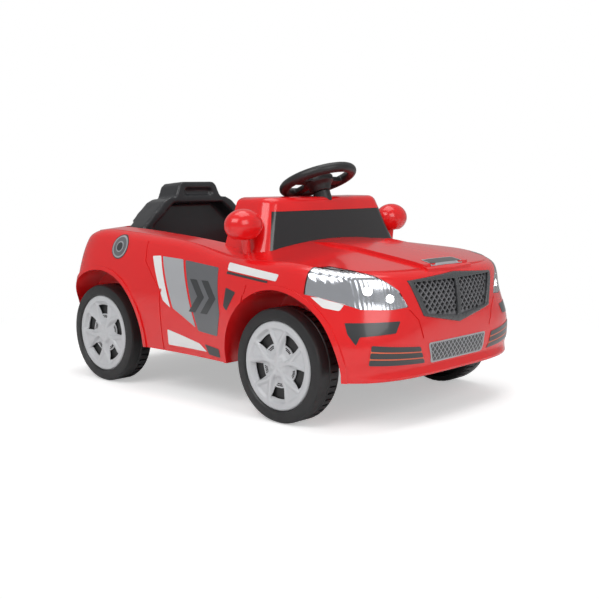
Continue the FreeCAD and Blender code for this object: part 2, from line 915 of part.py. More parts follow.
# Rocker switches: wedge-faced paddles bored for the cross pin in their windows
for name, side in (("power_switch", -1), ("direction_switch", 1)):
    rocker = body(name, (f"{DASH_X} + dash_thick / 2", f"{side} * switch_offset - switch_width / 2", DASH_Z))
    paddle = sketch(rocker, "XZ_Plane", name + "_profile")
    outline(paddle, [
        ("-dash_thick / 2 - 3", "switch_height / 2 - 1.5"),
        ("-dash_thick / 2 - 1", "0"),
        ("-dash_thick / 2 - 3", "1.5 - switch_height / 2"),
        ("dash_thick / 2", "2.2 - switch_height / 2"),
        ("dash_thick / 2 + 5", "0"),
        ("dash_thick / 2", "switch_height / 2 - 2.2"),
    ])
    extrude(rocker, "Pad", name + "_pad", paddle, "switch_width", reverse=True)
    eye = sketch(rocker, "XZ_Plane", name + "_eye")
    circle(eye, "rocker_pin + 0.15", "0", "0")
    extrude(rocker, "Pocket", name + "_bore", eye, "2 * switch_width + 4", middle=True)
    node(rocker)

# Charge socket: flanged sleeve with its plug hole
sleeve = rod("socket_sleeve", "socket_radius + 4 - fit_gap", "14",
             (f"{DASH_X} - 2", "-socket_out", DASH_Z), (Y_AXIS, "90"))
flange = rod("socket_flange", "socket_radius + 7", "2",
             (f"{DASH_X} - 2", "-socket_out", DASH_Z), (Y_AXIS, "90"))
hole = rod("socket_hole", "socket_radius", "11",
           (f"{DASH_X} - 3", "-socket_out", DASH_Z), (Y_AXIS, "90"))
node(cut("charge_socket", fuse("socket_blank", sleeve, flange), hole))


# Lamps and grille


def biggest(shape):
    return max(shape.Solids, key=lambda solid: solid.Volume)


headlight_block = lamp_region(headlight_outline, *HEADLIGHT_X, -size.fit_gap).common(body_form(0))
lens_right = biggest(headlight_block.cut(body_form(size.lens_thick)))
bowl_block = headlight_block.common(body_form(size.lens_thick + size.fit_gap))
bowl_right = biggest(bowl_block.cut(body_form(size.lamp_depth - size.fit_gap)))
tail_block = lamp_region(tail_outline, *TAIL_X, -size.fit_gap).common(body_form(0))
tail_right = biggest(tail_block.cut(body_form(size.lamp_depth - size.fit_gap)))
LAMP_SPOTS = [(438, -218, 263), (455, -180, 248)]


def headlight_bulbs():
    """Two lamp domes on the reflector floor of each side."""
    floor = size.lamp_depth - size.fit_gap
    bulbs = []
    for x, y, z in LAMP_SPOTS:
        dome = Part.makeCylinder(size.bulb_radius, 60, Vector(x - 30, y, z), X_AXIS)
        bulbs += both_sides(biggest(layer(dome, size.lens_thick + size.fit_gap, floor)))
    return Part.makeCompound(bulbs)


def bored_bowl():
    wells = [Part.makeCylinder(size.bulb_radius + size.fit_gap, 60, Vector(x - 30, y, z), X_AXIS)
             for x, y, z in LAMP_SPOTS]
    return max(bowl_right.cut(wells).Solids, key=lambda s: s.Volume)


bowl_cut = bored_bowl()
for side, turned in (("right", lambda s: s), ("left", mirrored)):
    form("headlight_lens_" + side, turned(lens_right))
    form("headlight_reflector_" + side, turned(bowl_cut))
    form("tail_lamp_" + side, turned(tail_right))
form("headlight_bulbs", headlight_bulbs())


def grille_frame():
    """Proud rim with a middle bar, set into the nose."""
    rim = grille_region(-size.fit_gap).cut(grille_region(-size.grille_rim))
    bar = span_box(front_x, nose_x + 40, -size.grille_bar / 2, size.grille_bar / 2,
                   size.grille_chin + size.grille_rim / 2, size.grille_top - size.grille_rim / 2)
    shape = rim.fuse(bar.common(grille_region(-size.grille_rim / 2)))
    return biggest(shape.common(body_form(-size.rim_rise)).cut(body_form(size.skin)))


def grille_mesh():
    """Curved diamond net behind the frame, over the floor of the recess."""
    sheet_form = grille_region(-1).common(body_form(size.lens_thick + size.fit_gap))
    net = sheet_form.cut(body_form(size.lamp_depth - size.fit_gap))
    pitch, reach = size.mesh_pitch, (size.mesh_pitch - size.mesh_bar) / 2
    window = grille_region(-size.grille_rim - 1)
    rows = int((size.grille_top - size.grille_chin) / pitch * 2)
    columns = int(size.grille_top_half / pitch) + 1
    holes = []
    for row in range(rows):
        z = size.grille_chin + row * pitch / 2
        for column in range(-columns, columns):
            y = (column + 0.5 * (row % 2)) * pitch + pitch / 4
            if window.isInside(Vector(nose_x, y, z), 0.1, True):
                corners = [(y - reach, z), (y, z - reach), (y + reach, z), (y, z + reach)]
                start = [Vector(front_x, *corner) for corner in corners]
                holes.append(prism(start, Vector(size.front_overhang, 0, 0)))
    return biggest(net.cut(holes))


form("grille_frame", grille_frame())
form("grille_mesh", grille_mesh())


# Seat: one moulded shell with a dished back, side wings, headrest and cushion


def seat_shell():
    floor = size.bench_height
    back = rear_x - size.tub_setback + 4
    waist = size.belt_height - 4
    shoulder = size.shoulder_height
    half_outline = [
        (size.seat_half, floor), (size.seat_half, floor + 40), (size.seat_waist_half, waist),
        (size.shoulder_half + 12, shoulder - 6), (size.shoulder_half - 6, shoulder + 2),
        (size.headrest_half + 5, shoulder + 3), (size.headrest_half - 8, size.headrest_top - 8),
        (size.headrest_half - 18, size.headrest_top),
    ]
    corners = [Vector(back, -y, z) for y, z in half_outline]
    corners += [Vector(back, y, z) for y, z in reversed(half_outline)]
    slab = prism(corners, Vector(size.seat_thick, 0, 0))
    dish_front = back + size.seat_thick - size.seat_dish
    inner = size.wing_share_half
    dish_points = [
        (size.seat_half - inner, floor + 30), (size.seat_waist_half - inner, waist),
        (size.shoulder_half - 32, shoulder - 12),
    ]
    def dish(points, depth, flare):
        base = [Vector(dish_front + depth, -y, z) for y, z in points]
        base += [Vector(dish_front + depth, y, z) for y, z in reversed(points)]
        wide = [Vector(dish_front + size.seat_dish + 12, -(y + flare), z) for y, z in points]
        wide += [Vector(dish_front + size.seat_dish + 12, y + flare, z) for y, z in reversed(points)]
        wires = [Part.makePolygon(ring + ring[:1]) for ring in (base, wide)]
        return Part.makeLoft(wires, True, True)
    rest = [(size.headrest_half - 24, shoulder + 6), (size.headrest_half - 28, size.headrest_top - 16)]
    slab = slab.cut([dish(dish_points, 0, 22), dish(rest, size.seat_dish - 8, 8)])
    slab.rotate(Vector(back, 0, floor), Y_AXIS, -size.seat_lean)
    cushion_front = rear_x - size.tub_setback + size.bench_length - 8
    wire = Part.makePolygon([
        Vector(back + 10, 0, floor), Vector(cushion_front, 0, floor),
        Vector(cushion_front, 0, floor + size.cushion_rise - 12),
        Vector(cushion_front - 14, 0, floor + size.cushion_rise),
        Vector(back + size.seat_thick + 40, 0, floor + size.cushion_rise - 12),
        Vector(back + 10, 0, floor + size.cushion_rise), Vector(back + 10, 0, floor),
    ])
    cushion = Part.Face(wire).extrude(Vector(0, 2 * size.seat_half, 0))
    cushion.translate(Vector(0, -size.seat_half, 0))
    hull_half = size.tub_half - size.fit_gap
    hull = rounded_box(rear_x - size.tub_setback + size.fit_gap, cushion_front + 4, -hull_half, hull_half,
                       floor, size.headrest_top + 40, size.tub_round)
    keep = span_box(tail_x, nose_x, -size.body_width, size.body_width, floor, size.headrest_top + 40)
    lower = span_box(tail_x, nose_x, -size.body_width, size.body_width, floor, size.deck_crest + 2)
    wall = 2 * size.skin
    under = span_box(back + wall + size.seat_thick, cushion_front - wall, wall - size.seat_half,
                     size.seat_half - wall, floor - wall, floor + size.cushion_rise - 12 - wall)
    whole = slab.fuse(cushion).cut(under).common(keep)
    shape = whole.cut(lower).fuse(whole.common(lower).common(hull)).removeSplitter()
    return max(shape.Solids, key=lambda solid: solid.Volume)


form("seat", seat_shell())

# Mirrors: an egg-shaped pod with a flat back for its glass, on a short stem down to the shoulder
EGG_RINGS = 11


def egg(long, across, side):
    """Egg with its long axis across the car, at a mirror's place."""
    rings = []
    for step in range(EGG_RINGS):
        turn = math.radians(-86 + 172 * step / (EGG_RINGS - 1))
        centre = Vector(size.mirror_x, side * size.mirror_out + long * math.sin(turn), size.mirror_height)
        rings.append(Part.Wire(Part.makeCircle(across * math.cos(turn), centre, Y_AXIS)))
    return Part.makeLoft(rings, True, False)


def mirror_pod(side):
    back = size.mirror_x - size.mirror_back
    behind = span_box(back - 60, back, -size.body_width, size.body_width, 0, 2 * size.mirror_height)
    top = Vector(size.mirror_x, side * (size.mirror_out - 2), size.mirror_height - 8)
    foot = Vector(size.mirror_x, side * (size.mirror_out - 10), size.scuttle_crest - size.scuttle_crown - 4)
    stem = Part.makeCylinder(size.stem_radius, top.distanceToPoint(foot), foot, top - foot)
    whole = egg(size.mirror_long, size.mirror_round, side).cut(behind).fuse(stem).cut(body_form(0))
    return biggest(whole)


def mirror_glass(side):
    back = size.mirror_x - size.mirror_back
    wide, tall = size.body_width, 2 * size.mirror_height
    slab = span_box(back - size.glass_thick, back, -wide, wide, 0, tall)
    return biggest(egg(size.mirror_long - 4, size.mirror_round - 3, side).common(slab))


for side_name, side in SIDES.items():
    form("mirror_" + side_name, mirror_pod(side))
    form("mirror_glass_" + side_name, mirror_glass(side))

# Wheels: drum tyre with ribbed inner tread, snap-in hub cap and bush


def wheel_frame(x, side):
    """Place and turn of a wheel whose local Z runs inward from its outer face."""
    return (x, f"{side} * {WHEEL_FACE}", AXLE_Z), (side * X_AXIS, "90")


def tyre(name, x, side):
    at, turn = wheel_frame(x, side)
    wheel = body(name, at, turn)
    profile = sketch(wheel, "XZ_Plane", name + "_profile")
    outline(profile, [
        ("bush_radius", "cap_recess + 12"),
        ("nut_radius + 3", "cap_recess + 12"),
        ("nut_radius + 3", "cap_recess"),
        ("cap_radius + fit_gap", "cap_recess"),
        ("cap_radius + fit_gap", "3"),
        ("cap_radius + 3", "0"),
        ("wheel_diameter / 2 - tyre_round", "0"),
        ("wheel_diameter / 2 - tyre_round * 0.3", "tyre_round * 0.3"),
        ("wheel_diameter / 2", "tyre_round"),
        ("wheel_diameter / 2", "tread_start - 4"),
        ("wheel_diameter / 2 - 1.5", "tread_start - 2.5"),
        ("wheel_diameter / 2", "tread_start - 1"),
        ("wheel_diameter / 2", "tyre_width - tyre_round"),
        ("wheel_diameter / 2 - tyre_round * 0.3", "tyre_width - tyre_round * 0.3"),
        ("wheel_diameter / 2 - tyre_round", "tyre_width"),
        ("wheel_diameter / 2 - tyre_wall", "tyre_width"),
        ("wheel_diameter / 2 - tyre_wall - 2", "cap_recess + 8"),
        ("bush_radius + 10", "cap_recess + 8"),
        ("bush_radius + 8", "tyre_width"),
        ("bush_radius", "tyre_width"),
    ])
    revolve(wheel, name + "_drum", profile)
    groove = sketch(wheel, "XZ_Plane", name + "_groove")
    outline(groove, [
        ("wheel_diameter / 2 - tread_depth", "tread_start + 2"),
        ("wheel_diameter / 2 + 3", "tread_start + 2"),
        ("wheel_diameter / 2 + 3", "tyre_width + 3"),
        ("wheel_diameter / 2 - tread_depth", "tyre_width + 3"),
    ])
    slot = extrude(wheel, "Pocket", name + "_slot", groove, "tread_gap", middle=True)
    repeat_round(wheel, name + "_tread", slot, "tread_count")
    return node(wheel)


def hub_cap(name, x, side):
    at, turn = wheel_frame(x, side)
    cap = body(name, at, turn)
    profile = sketch(cap, "XZ_Plane", name + "_profile")
    outline(profile, [
        ("0", "2"),
        ("15", "2"),
        ("20", "6"),
        ("cap_radius * 0.8", "5"),
        ("cap_radius * 0.85", "1.5"),
        ("cap_radius - 3", "1"),
        ("cap_radius", "4"),
        ("cap_radius", "cap_recess - fit_gap"),
        ("cap_radius - 3", "cap_recess - fit_gap"),
        ("cap_radius - 3", "2 + cap_thick"),
        ("cap_radius * 0.86", "2 + cap_thick"),
        ("cap_radius * 0.8", "5 + cap_thick"),
        ("20", "6 + cap_thick"),
        ("0", "6 + cap_thick"),
    ])
    revolve(cap, name + "_dish", profile)
    opening = sketch(cap, "XY_Plane", name + "_opening")
    outline(opening, [
        ("cap_radius * 0.52", "-cap_radius * 0.06"),
        ("cap_radius * 0.76", "-cap_radius * 0.2"),
        ("cap_radius * 0.79", "cap_radius * 0.16"),
        ("cap_radius * 0.56", "cap_radius * 0.12"),
    ])
    window = extrude(cap, "Pocket", name + "_window", opening, "cap_recess + 4", reverse=True)
    windows_round = repeat_round(cap, name + "_windows", window, "spoke_count")
    blade = sketch(cap, "XY_Plane", name + "_blade", "2.6")
    outline(blade, [
        ("cap_radius * 0.2", "cap_radius * 0.06"),
        ("cap_radius * 0.46", "cap_radius * 0.2"),
        ("cap_radius * 0.62", "cap_radius * 0.5"),
        ("cap_radius * 0.52", "cap_radius * 0.6"),
        ("cap_radius * 0.34", "cap_radius * 0.3"),
        ("cap_radius * 0.14", "cap_radius * 0.16"),
    ])
    ridge = extrude(cap, "Pad", name + "_ridge", blade, "cap_thick + 1")
    repeat_round(cap, name + "_ridges", ridge, "spoke_count")
    return node(cap)


WHEELS = {
    "front_right": (FRONT_X, -1),
    "front_left": (FRONT_X, 1),
    "rear_right": (REAR_X, -1),
    "rear_left": (REAR_X, 1),
}
BUSH_START = f"({WHEEL_BACK} - bush_stand)"
BUSH_LENGTH = "(tyre_width + bush_stand - cap_recess - 12)"
for corner, (x, side) in WHEELS.items():
    tyre("tyre_" + corner, x, side)
    hub_cap("hub_cap_" + corner, x, side)
    start = (x, f"{side} * {BUSH_START}", AXLE_Z)
    sleeve = cross_rod("bush_sleeve_" + corner, "bush_radius - 0.02", BUSH_LENGTH, start, side)
    bore = cross_rod("bush_bore_" + corner, "axle_radius + axle_gap", BUSH_LENGTH, start, side)
    node(cut("wheel_bush_" + corner, sleeve, bore))

# Axle ends and their nuts
AXLE_END = f"({WHEEL_FACE} - axle_short)"
NUT_START = f"({AXLE_END} - nut_thick - 0.5)"


def axle_nut(name, x, side):
    start = (x, f"{side} * {NUT_START}", AXLE_Z)
    blank = cross_rod(name + "_blank", "nut_radius", "nut_thick", start, side)
    bore = cross_rod(name + "_bore", "axle_radius + 0.02", "nut_thick", start, side)
    return cut(name, blank, bore)


for side_name, side in SIDES.items():
    node(axle_nut("front_axle_nut_" + side_name, FRONT_X, side))
node(group("rear_axle_nuts", *[axle_nut("rear_nut_" + n, REAR_X, s) for n, s in SIDES.items()]))
node(rod("rear_axle", "axle_radius", f"2 * {AXLE_END}", (REAR_X, f"-{AXLE_END}", AXLE_Z), (-X_AXIS, "90")))


def axle_bracket(side_name, side):
    name = "axle_bracket_" + side_name
    foot = block(name + "_foot", ("44", "16", "5"), (REAR_X, f"{side} * 140", f"{PAN_TOP} + 2.5"))
    cheek = block(name + "_cheek", ("22", "16", f"{AXLE_Z} - {PAN_TOP}"),
                  (REAR_X, f"{side} * 140", f"({AXLE_Z} + {PAN_TOP}) / 2"))
    eye = rod(name + "_eye", "axle_radius + 6", "16", (REAR_X, f"{side} * 140 - 8", AXLE_Z), (-X_AXIS, "90"))
    bore = rod(name + "_bore", "axle_radius + 0.02", "16", (REAR_X, f"{side} * 140 - 8", AXLE_Z),
               (-X_AXIS, "90"))
    return cut(name, fuse(name + "_blank", foot, cheek, eye), bore)


node(group("rear_axle_brackets", *[axle_bracket(n, s) for n, s in SIDES.items()]))

# Front axle beam, kingpins and knuckles
BOSS_TOP = f"({PAN_TOP} + boss_height)"
beam_parts = [block("beam_bar", ("beam_width", f"2 * {KINGPIN_Y}", "beam_height"),
                    (FRONT_X, "0", f"{PAN_TOP} + beam_height / 2"))]
beam_bores = []
pins = []
for side_name, side in SIDES.items():
    spot = (FRONT_X, f"{side} * {KINGPIN_Y}")
    beam_parts.append(rod("beam_boss_" + side_name, "beam_width / 2", "boss_height", (*spot, PAN_TOP)))
    beam_bores.append(rod("beam_bore_" + side_name, "kingpin_radius + 0.02", "boss_height", (*spot, PAN_TOP)))
    low = f"({PAN_TOP} - yoke_thick - 2)"
    shaft = rod("kingpin_shaft_" + side_name, "kingpin_radius", "boss_height + 2 * yoke_thick + 4",
                (*spot, low))
    head = rod("kingpin_head_" + side_name, "kingpin_radius + 3", "3",
               (*spot, f"{BOSS_TOP} + yoke_thick + 2 * fit_gap"))
    pins.append(fuse("kingpin_" + side_name, shaft, head))
    knuckle_name = "knuckle_" + side_name
    reach = f"({WHEEL_BACK} - 8 - {KINGPIN_Y})"
    plates = []
    for level, z in (("low", f"{PAN_TOP} - fit_gap - yoke_thick"), ("high", f"{BOSS_TOP} + fit_gap")):
        plates.append(rod(f"{knuckle_name}_{level}_eye", "beam_width / 2", "yoke_thick", (*spot, z)))
        plates.append(block(f"{knuckle_name}_{level}_plate", ("beam_width", reach, "yoke_thick"),
                            (FRONT_X, f"{side} * ({KINGPIN_Y} + {reach} / 2)", f"{z} + yoke_thick / 2")))
    tall = "(boss_height + 2 * yoke_thick + 2 * fit_gap)"
    plates.append(block(knuckle_name + "_cheek", ("beam_width", "6", tall),
                        (FRONT_X, f"{side} * ({WHEEL_BACK} - 11)", f"{PAN_TOP} + boss_height / 2")))
    plates.append(cross_rod(knuckle_name + "_stub", "axle_radius", f"{AXLE_END} - {WHEEL_BACK} + 9",
                            (FRONT_X, f"{side} * ({WHEEL_BACK} - 9)", AXLE_Z), side))
    arm_z = f"({BOSS_TOP} + fit_gap)"
    plates.append(block(knuckle_name + "_arm", ("arm_length", "tie_width", "yoke_thick"),
                        (f"{FRONT_X} - arm_length / 2", f"{side} * {KINGPIN_Y}",
                         f"{arm_z} + yoke_thick / 2")))
    end = (f"{FRONT_X} - arm_length", f"{side} * {KINGPIN_Y}")
    plates.append(rod(knuckle_name + "_arm_eye", "tie_width / 2", "yoke_thick", (*end, arm_z)))
    pin_low = "(tie_height - fit_gap - 3)"
    plates.append(rod(knuckle_name + "_arm_pin", "crank_pin", f"{arm_z} - {pin_low}", (*end, pin_low)))
    plates.append(rod(knuckle_name + "_arm_head", "crank_pin + 4", "3", (*end, pin_low)))
    bore = rod(knuckle_name + "_bore", "kingpin_radius + axle_gap", tall,
               (*spot, f"{PAN_TOP} - fit_gap - yoke_thick"))
    node(cut(knuckle_name, fuse(knuckle_name + "_blank", *plates), bore))
node(cut("front_axle_beam", fuse("beam_blank", *beam_parts), *beam_bores))
node(group("kingpins", *pins))

# Tie bar: flat bar with a slot for the crank pin and one at each end for the arm pins
TIE_X = f"({FRONT_X} - arm_length)"
tie = body("tie_bar", (TIE_X, "0", "tie_height"))
bar = sketch(tie, "XY_Plane", "tie_outline")
outline(bar, [
    ("-tie_width / 2 - 3", f"-{KINGPIN_Y} - 12"),
    ("tie_width / 2 + 6", f"-{KINGPIN_Y} - 12"),
    ("tie_width / 2 + 6", "-30"),
    ("tie_width / 2 + 14", "-18"),
    ("tie_width / 2 + 14", "18"),
    ("tie_width / 2 + 6", "30"),
    ("tie_width / 2 + 6", f"{KINGPIN_Y} + 12"),
    ("-tie_width / 2 - 3", f"{KINGPIN_Y} + 12"),
])
extrude(tie, "Pad", "tie_pad", bar, "tie_thick")
slots = sketch(tie, "XY_Plane", "tie_slots")
for y, back_run, front_run in (("0", "crank_pin + 6", "crank_pin + slot_run + 6"),
                               (f"{KINGPIN_Y}", "crank_pin + 1", "crank_pin + 5"),
                               (f"-{KINGPIN_Y}", "crank_pin + 1", "crank_pin + 5")):
    outline(slots, [
        (f"-({back_run})", f"{y} - crank_pin - slot_slack"),
        (front_run, f"{y} - crank_pin - slot_slack"),
        (front_run, f"{y} + crank_pin + slot_slack"),
        (f"-({back_run})", f"{y} + crank_pin + slot_slack"),
    ])
extrude(tie, "Pocket", "tie_openings", slots, "tie_thick", reverse=True)
node(tie)

# Steering wheel, column and buttons, in the column's own frame
COLUMN_AT = ("steering_x", "0", "steering_height")
COLUMN_TURN = (-Y_AXIS, "column_tilt")


def column_place_of(distance, offset="0"):
    """Place of a point down the column and across it."""
    return (f"steering_x + ({distance}) * sin(column_tilt)", offset,
            f"steering_height - ({distance}) * cos(column_tilt)")


steering = body("steering_wheel", COLUMN_AT, COLUMN_TURN)
rim_profile = sketch(steering, "XZ_Plane", "rim_profile")
circle(rim_profile, "rim_thick / 2", "rim_diameter / 2 - rim_thick / 2", "0")
revolve(steering, "rim", rim_profile)
hub_profile = sketch(steering, "XZ_Plane", "hub_profile")
outline(hub_profile, [
    ("0", "hub_rise"),
    ("hub_radius - 6", "hub_rise"),
    ("hub_radius", "hub_rise - 6"),
    ("hub_radius", "-8"),
    ("skirt_radius", "-15"),
    ("skirt_radius - 6", "-boss_length"),
    ("column_radius + 0.02", "-boss_length"),
    ("column_radius + 0.02", "-18"),
    ("0", "-18"),
])
revolve(steering, "hub", hub_profile)
spokes = sketch(steering, "XY_Plane", "spoke_outline", "-7")
RIM_MID = "(rim_diameter / 2 - rim_thick / 2)"
outline(spokes, [
    ("-spoke_width / 2", f"-{RIM_MID}"),
    ("spoke_width / 2", f"-{RIM_MID}"),
    ("spoke_width / 2 + 6", "0"),
    ("spoke_width / 2", RIM_MID),
    ("-spoke_width / 2", RIM_MID),
    ("-spoke_width / 2 - 6", "0"),
])
extrude(steering, "Pad", "cross_spokes", spokes, "11")
low_spoke = sketch(steering, "XY_Plane", "low_spoke_outline", "-7")
outline(low_spoke, [
    (f"-{RIM_MID}", "-spoke_width / 2"),
    ("0", "-spoke_width / 2 - 4"),
    ("0", "spoke_width / 2 + 4"),
    (f"-{RIM_MID}", "spoke_width / 2"),
])
extrude(steering, "Pad", "low_spoke", low_spoke, "11")
wells = sketch(steering, "XY_Plane", "button_wells", "hub_rise")
for side in SIDES.values():
    circle(wells, "button_radius + fit_gap", "0", f"{side} * button_offset")
extrude(steering, "Pocket", "button_pockets", wells, "button_rise + button_travel + 3")
node(steering)
for name, side in (("horn_button", -1), ("music_button", 1)):
    button = body(name, COLUMN_AT, COLUMN_TURN)
    face = sketch(button, "XZ_Plane", name + "_profile")
    low = "(hub_rise - 3)"
    outline(face, [
        ("0", low),
        ("button_radius", low),
        ("button_radius", "hub_rise + button_rise - 2"),
        ("button_radius - 2", "hub_rise + button_rise"),
        ("0", "hub_rise + button_rise"),
    ])
    turned = revolve(button, name + "_turned", face)
    face.setExpression("AttachmentOffset.Base.z", bound(f"{-side} * button_offset"))
    turned.ReferenceAxis = (face, ["V_Axis"])
    node(button)
shaft = rod("column_shaft", "column_radius", "column_length - 18", column_place_of("column_length"),
            COLUMN_TURN)
crank = make("Part::Box", "crank_bar", (
    "steering_x + column_length * sin(column_tilt) - (crank_length + 8) * cos(column_tilt)",
    "-8",
    "steering_height - column_length * cos(column_tilt) - (crank_length + 8) * sin(column_tilt)"),
    COLUMN_TURN, Length="crank_length + 16", Width="16", Height="8")
pin_base = "(column_length + pin_length - 1)"
pin = rod("crank_pin_rod", "crank_pin", "pin_length", (
    f"steering_x + {pin_base} * sin(column_tilt) - crank_length * cos(column_tilt)", "0",
    f"steering_height - {pin_base} * cos(column_tilt) - crank_length * sin(column_tilt)"), COLUMN_TURN)
node(fuse("steering_column", shaft, crank, pin))
post = block("bracket_post", ("beam_width - 6", "60", "72"), (FRONT_X, "0", f"{PAN_TOP} + beam_height + 36"))
shelf_z = f"({PAN_TOP} + beam_height + 62)"
shelf = block("bracket_shelf", ("70", "36", "20"), (f"{FRONT_X} - 35", "0", shelf_z))
guide = rod("bracket_bore", "column_radius + axle_gap", "column_length - 18",
            column_place_of("column_length"), COLUMN_TURN)
node(cut("column_bracket", fuse("bracket_blank", post, shelf), guide))

# Chassis pan: stepped plate that follows the wheel tunnels, open round the gearbox
pan = body("chassis_pan", ("0", "0", "sill_height"))
plate = sketch(pan, "XY_Plane", "pan_outline")
PAN_FRONT = f"({FRONT_X} + front_overhang - 34)"
PAN_BACK = f"({REAR_X} - rear_overhang + 14)"
MID_FRONT = f"({FRONT_X} - arch_radius - 2 * skin - 2)"
MID_BACK = f"({REAR_X} + arch_radius + 2 * skin + 2)"
right_edge = [
    (PAN_BACK, "pan_rear_half"), (MID_BACK, "pan_rear_half"), (MID_BACK, "pan_mid_half"),
    (MID_FRONT, "pan_mid_half"), (MID_FRONT, "pan_front_half"), (PAN_FRONT, "pan_front_half"),
]
outline(plate, [(x, f"-{y}") for x, y in right_edge] + list(reversed(right_edge)))
extrude(pan, "Pad", "pan_plate", plate, "pan_thick")
gap = sketch(pan, "XY_Plane", "gearbox_gap")
CASE_BACK = f"({REAR_X} - 42)"
CASE_FRONT = f"({REAR_X} + 100)"
outline(gap, [
    (f"{CASE_BACK} - 4", "case_inner - 4"), (f"{CASE_FRONT} + 4", "case_inner - 4"),
    (f"{CASE_FRONT} + 4", "pan_rear_half + 1"), (f"{CASE_BACK} - 4", "pan_rear_half + 1"),
])
extrude(pan, "Pocket", "gearbox_opening", gap, "pan_thick", reverse=True)
node(pan)

# Drive: two-stage spur gearbox beside the left rear wheel


def gear_shape(teeth, module, width, turn):
    """Spur gear with involute flanks, its first tooth turned to the given angle."""
    pitch_radius = teeth * module / 2
    base_radius = pitch_radius * math.cos(math.radians(20))
    tip = pitch_radius + 0.85 * module
    root = pitch_radius - 1.2 * module
    involute = lambda r: math.tan(math.acos(base_radius / r)) - math.acos(base_radius / r)
    half_pitch = math.pi / 2 / teeth - 0.06 * module / pitch_radius
    start = max(base_radius * 1.001, root)
    radii = [start + (tip - start) * step / 3 for step in range(4)]
    flank = [(r, half_pitch + involute(pitch_radius) - involute(r)) for r in radii]
    points = []
    for tooth in range(teeth):
        middle = turn + 2 * math.pi * tooth / teeth
        side = [(root, flank[0][1])] + flank
        points += [(r, middle - angle) for r, angle in side]
        points += [(r, middle + angle) for r, angle in reversed(side)]
    ring_points = [Vector(r * math.cos(a), r * math.sin(a), 0) for r, a in points]
    return prism(ring_points, Vector(0, 0, width))


wheel_teeth, pinion_teeth = int(size.drive_teeth), int(size.pinion_teeth)
drive_gap = (wheel_teeth + pinion_teeth) * size.drive_module / 2 + 0.15
motor_gap = (wheel_teeth + pinion_teeth) * size.motor_module / 2 + 0.15
IDLER_ANGLE = math.radians(40)
MOTOR_ANGLE = math.radians(12)
idler_at = (rear_x + drive_gap * math.cos(IDLER_ANGLE), axle_z + drive_gap * math.sin(IDLER_ANGLE))
motor_at = (idler_at[0] + motor_gap * math.cos(MOTOR_ANGLE), idler_at[1] + motor_gap * math.sin(MOTOR_ANGLE))


def across_car(shape, x, y, z):
    """Stand a shape made along local Z across the car, from y outward to the left."""
    shape.Placement = Placement(Vector(x, y, z), Rotation(X_AXIS, -90))
    return shape


def pipe(radius, bore, length, lift=0.0):
    shape = Part.makeCylinder(radius, length, Vector(0, 0, lift))
    return shape.cut(Part.makeCylinder(bore, length, Vector(0, 0, lift))) if bore else shape


inside = size.case_inner + size.case_wall
outer_row = inside + 26
inner_row = inside + 10
output = gear_shape(wheel_teeth, size.drive_module, 10, -IDLER_ANGLE).fuse(
    Part.makeCylinder(11, wheel_back - outer_row - 0.2))
output = output.cut(Part.makeCylinder(size.axle_radius + size.axle_gap, 100))
bush_end = wheel_back - size.bush_stand - outer_row
counterbore = Vector(0, 0, bush_end - size.fit_gap)
output = output.cut(Part.makeCylinder(size.bush_radius + size.fit_gap, 100, counterbore))
form("output_gear", across_car(output, rear_x, outer_row, axle_z))
idler_turn = -(IDLER_ANGLE + math.pi + math.pi / pinion_teeth)
small = gear_shape(pinion_teeth, size.drive_module, 12, idler_turn)
small.translate(Vector(0, 0, outer_row - inner_row - 1))
large = gear_shape(wheel_teeth, size.motor_module, 8, -MOTOR_ANGLE)
neck = Part.makeCylinder(6, outer_row - inner_row, Vector(0, 0, 0))
idler = large.fuse([neck, small]).cut(Part.makeCylinder(3 + size.axle_gap, 100))
form("idler_gear", across_car(idler, idler_at[0], inner_row, idler_at[1]))
motor_turn = -(MOTOR_ANGLE + math.pi + math.pi / pinion_teeth)
pinion = gear_shape(pinion_teeth, size.motor_module, 10, motor_turn)
pinion = pinion.fuse(Part.makeCylinder(2, 34, Vector(0, 0, -32)))
form("motor_pinion", across_car(pinion, motor_at[0], inner_row - 1, motor_at[1]))
can = pipe(size.motor_radius, 0, size.motor_length).fuse(Part.makeCylinder(7, 4, Vector(0, 0, -4)))
can = can.cut(Part.makeCylinder(2 + size.axle_gap, 30, Vector(0, 0, size.motor_length - 26)))
form("motor", across_car(can, motor_at[0], size.case_inner - size.motor_length, motor_at[1]))

case_low = axle_z - 42
case_high = motor_at[1] + size.motor_radius + 12
case_outline = [
    (rear_x - 40, axle_z - 20), (rear_x - 20, case_low), (rear_x + 24, case_low), (rear_x + 98, axle_z + 6),
    (rear_x + 98, case_high), (rear_x - 4, case_high), (rear_x - 40, axle_z + 26),
]


def case_solid(grow, start, end):
    cx = sum(x for x, _ in case_outline) / len(case_outline)
    cz = sum(z for _, z in case_outline) / len(case_outline)
    ring_points = []
    for x, z in case_outline:
        reach = math.hypot(x - cx, z - cz)
        share = (reach + grow) / reach
        ring_points.append(Vector(cx + (x - cx) * share, start, cz + (z - cz) * share))
    return prism(ring_points, Vector(0, end - start, 0))


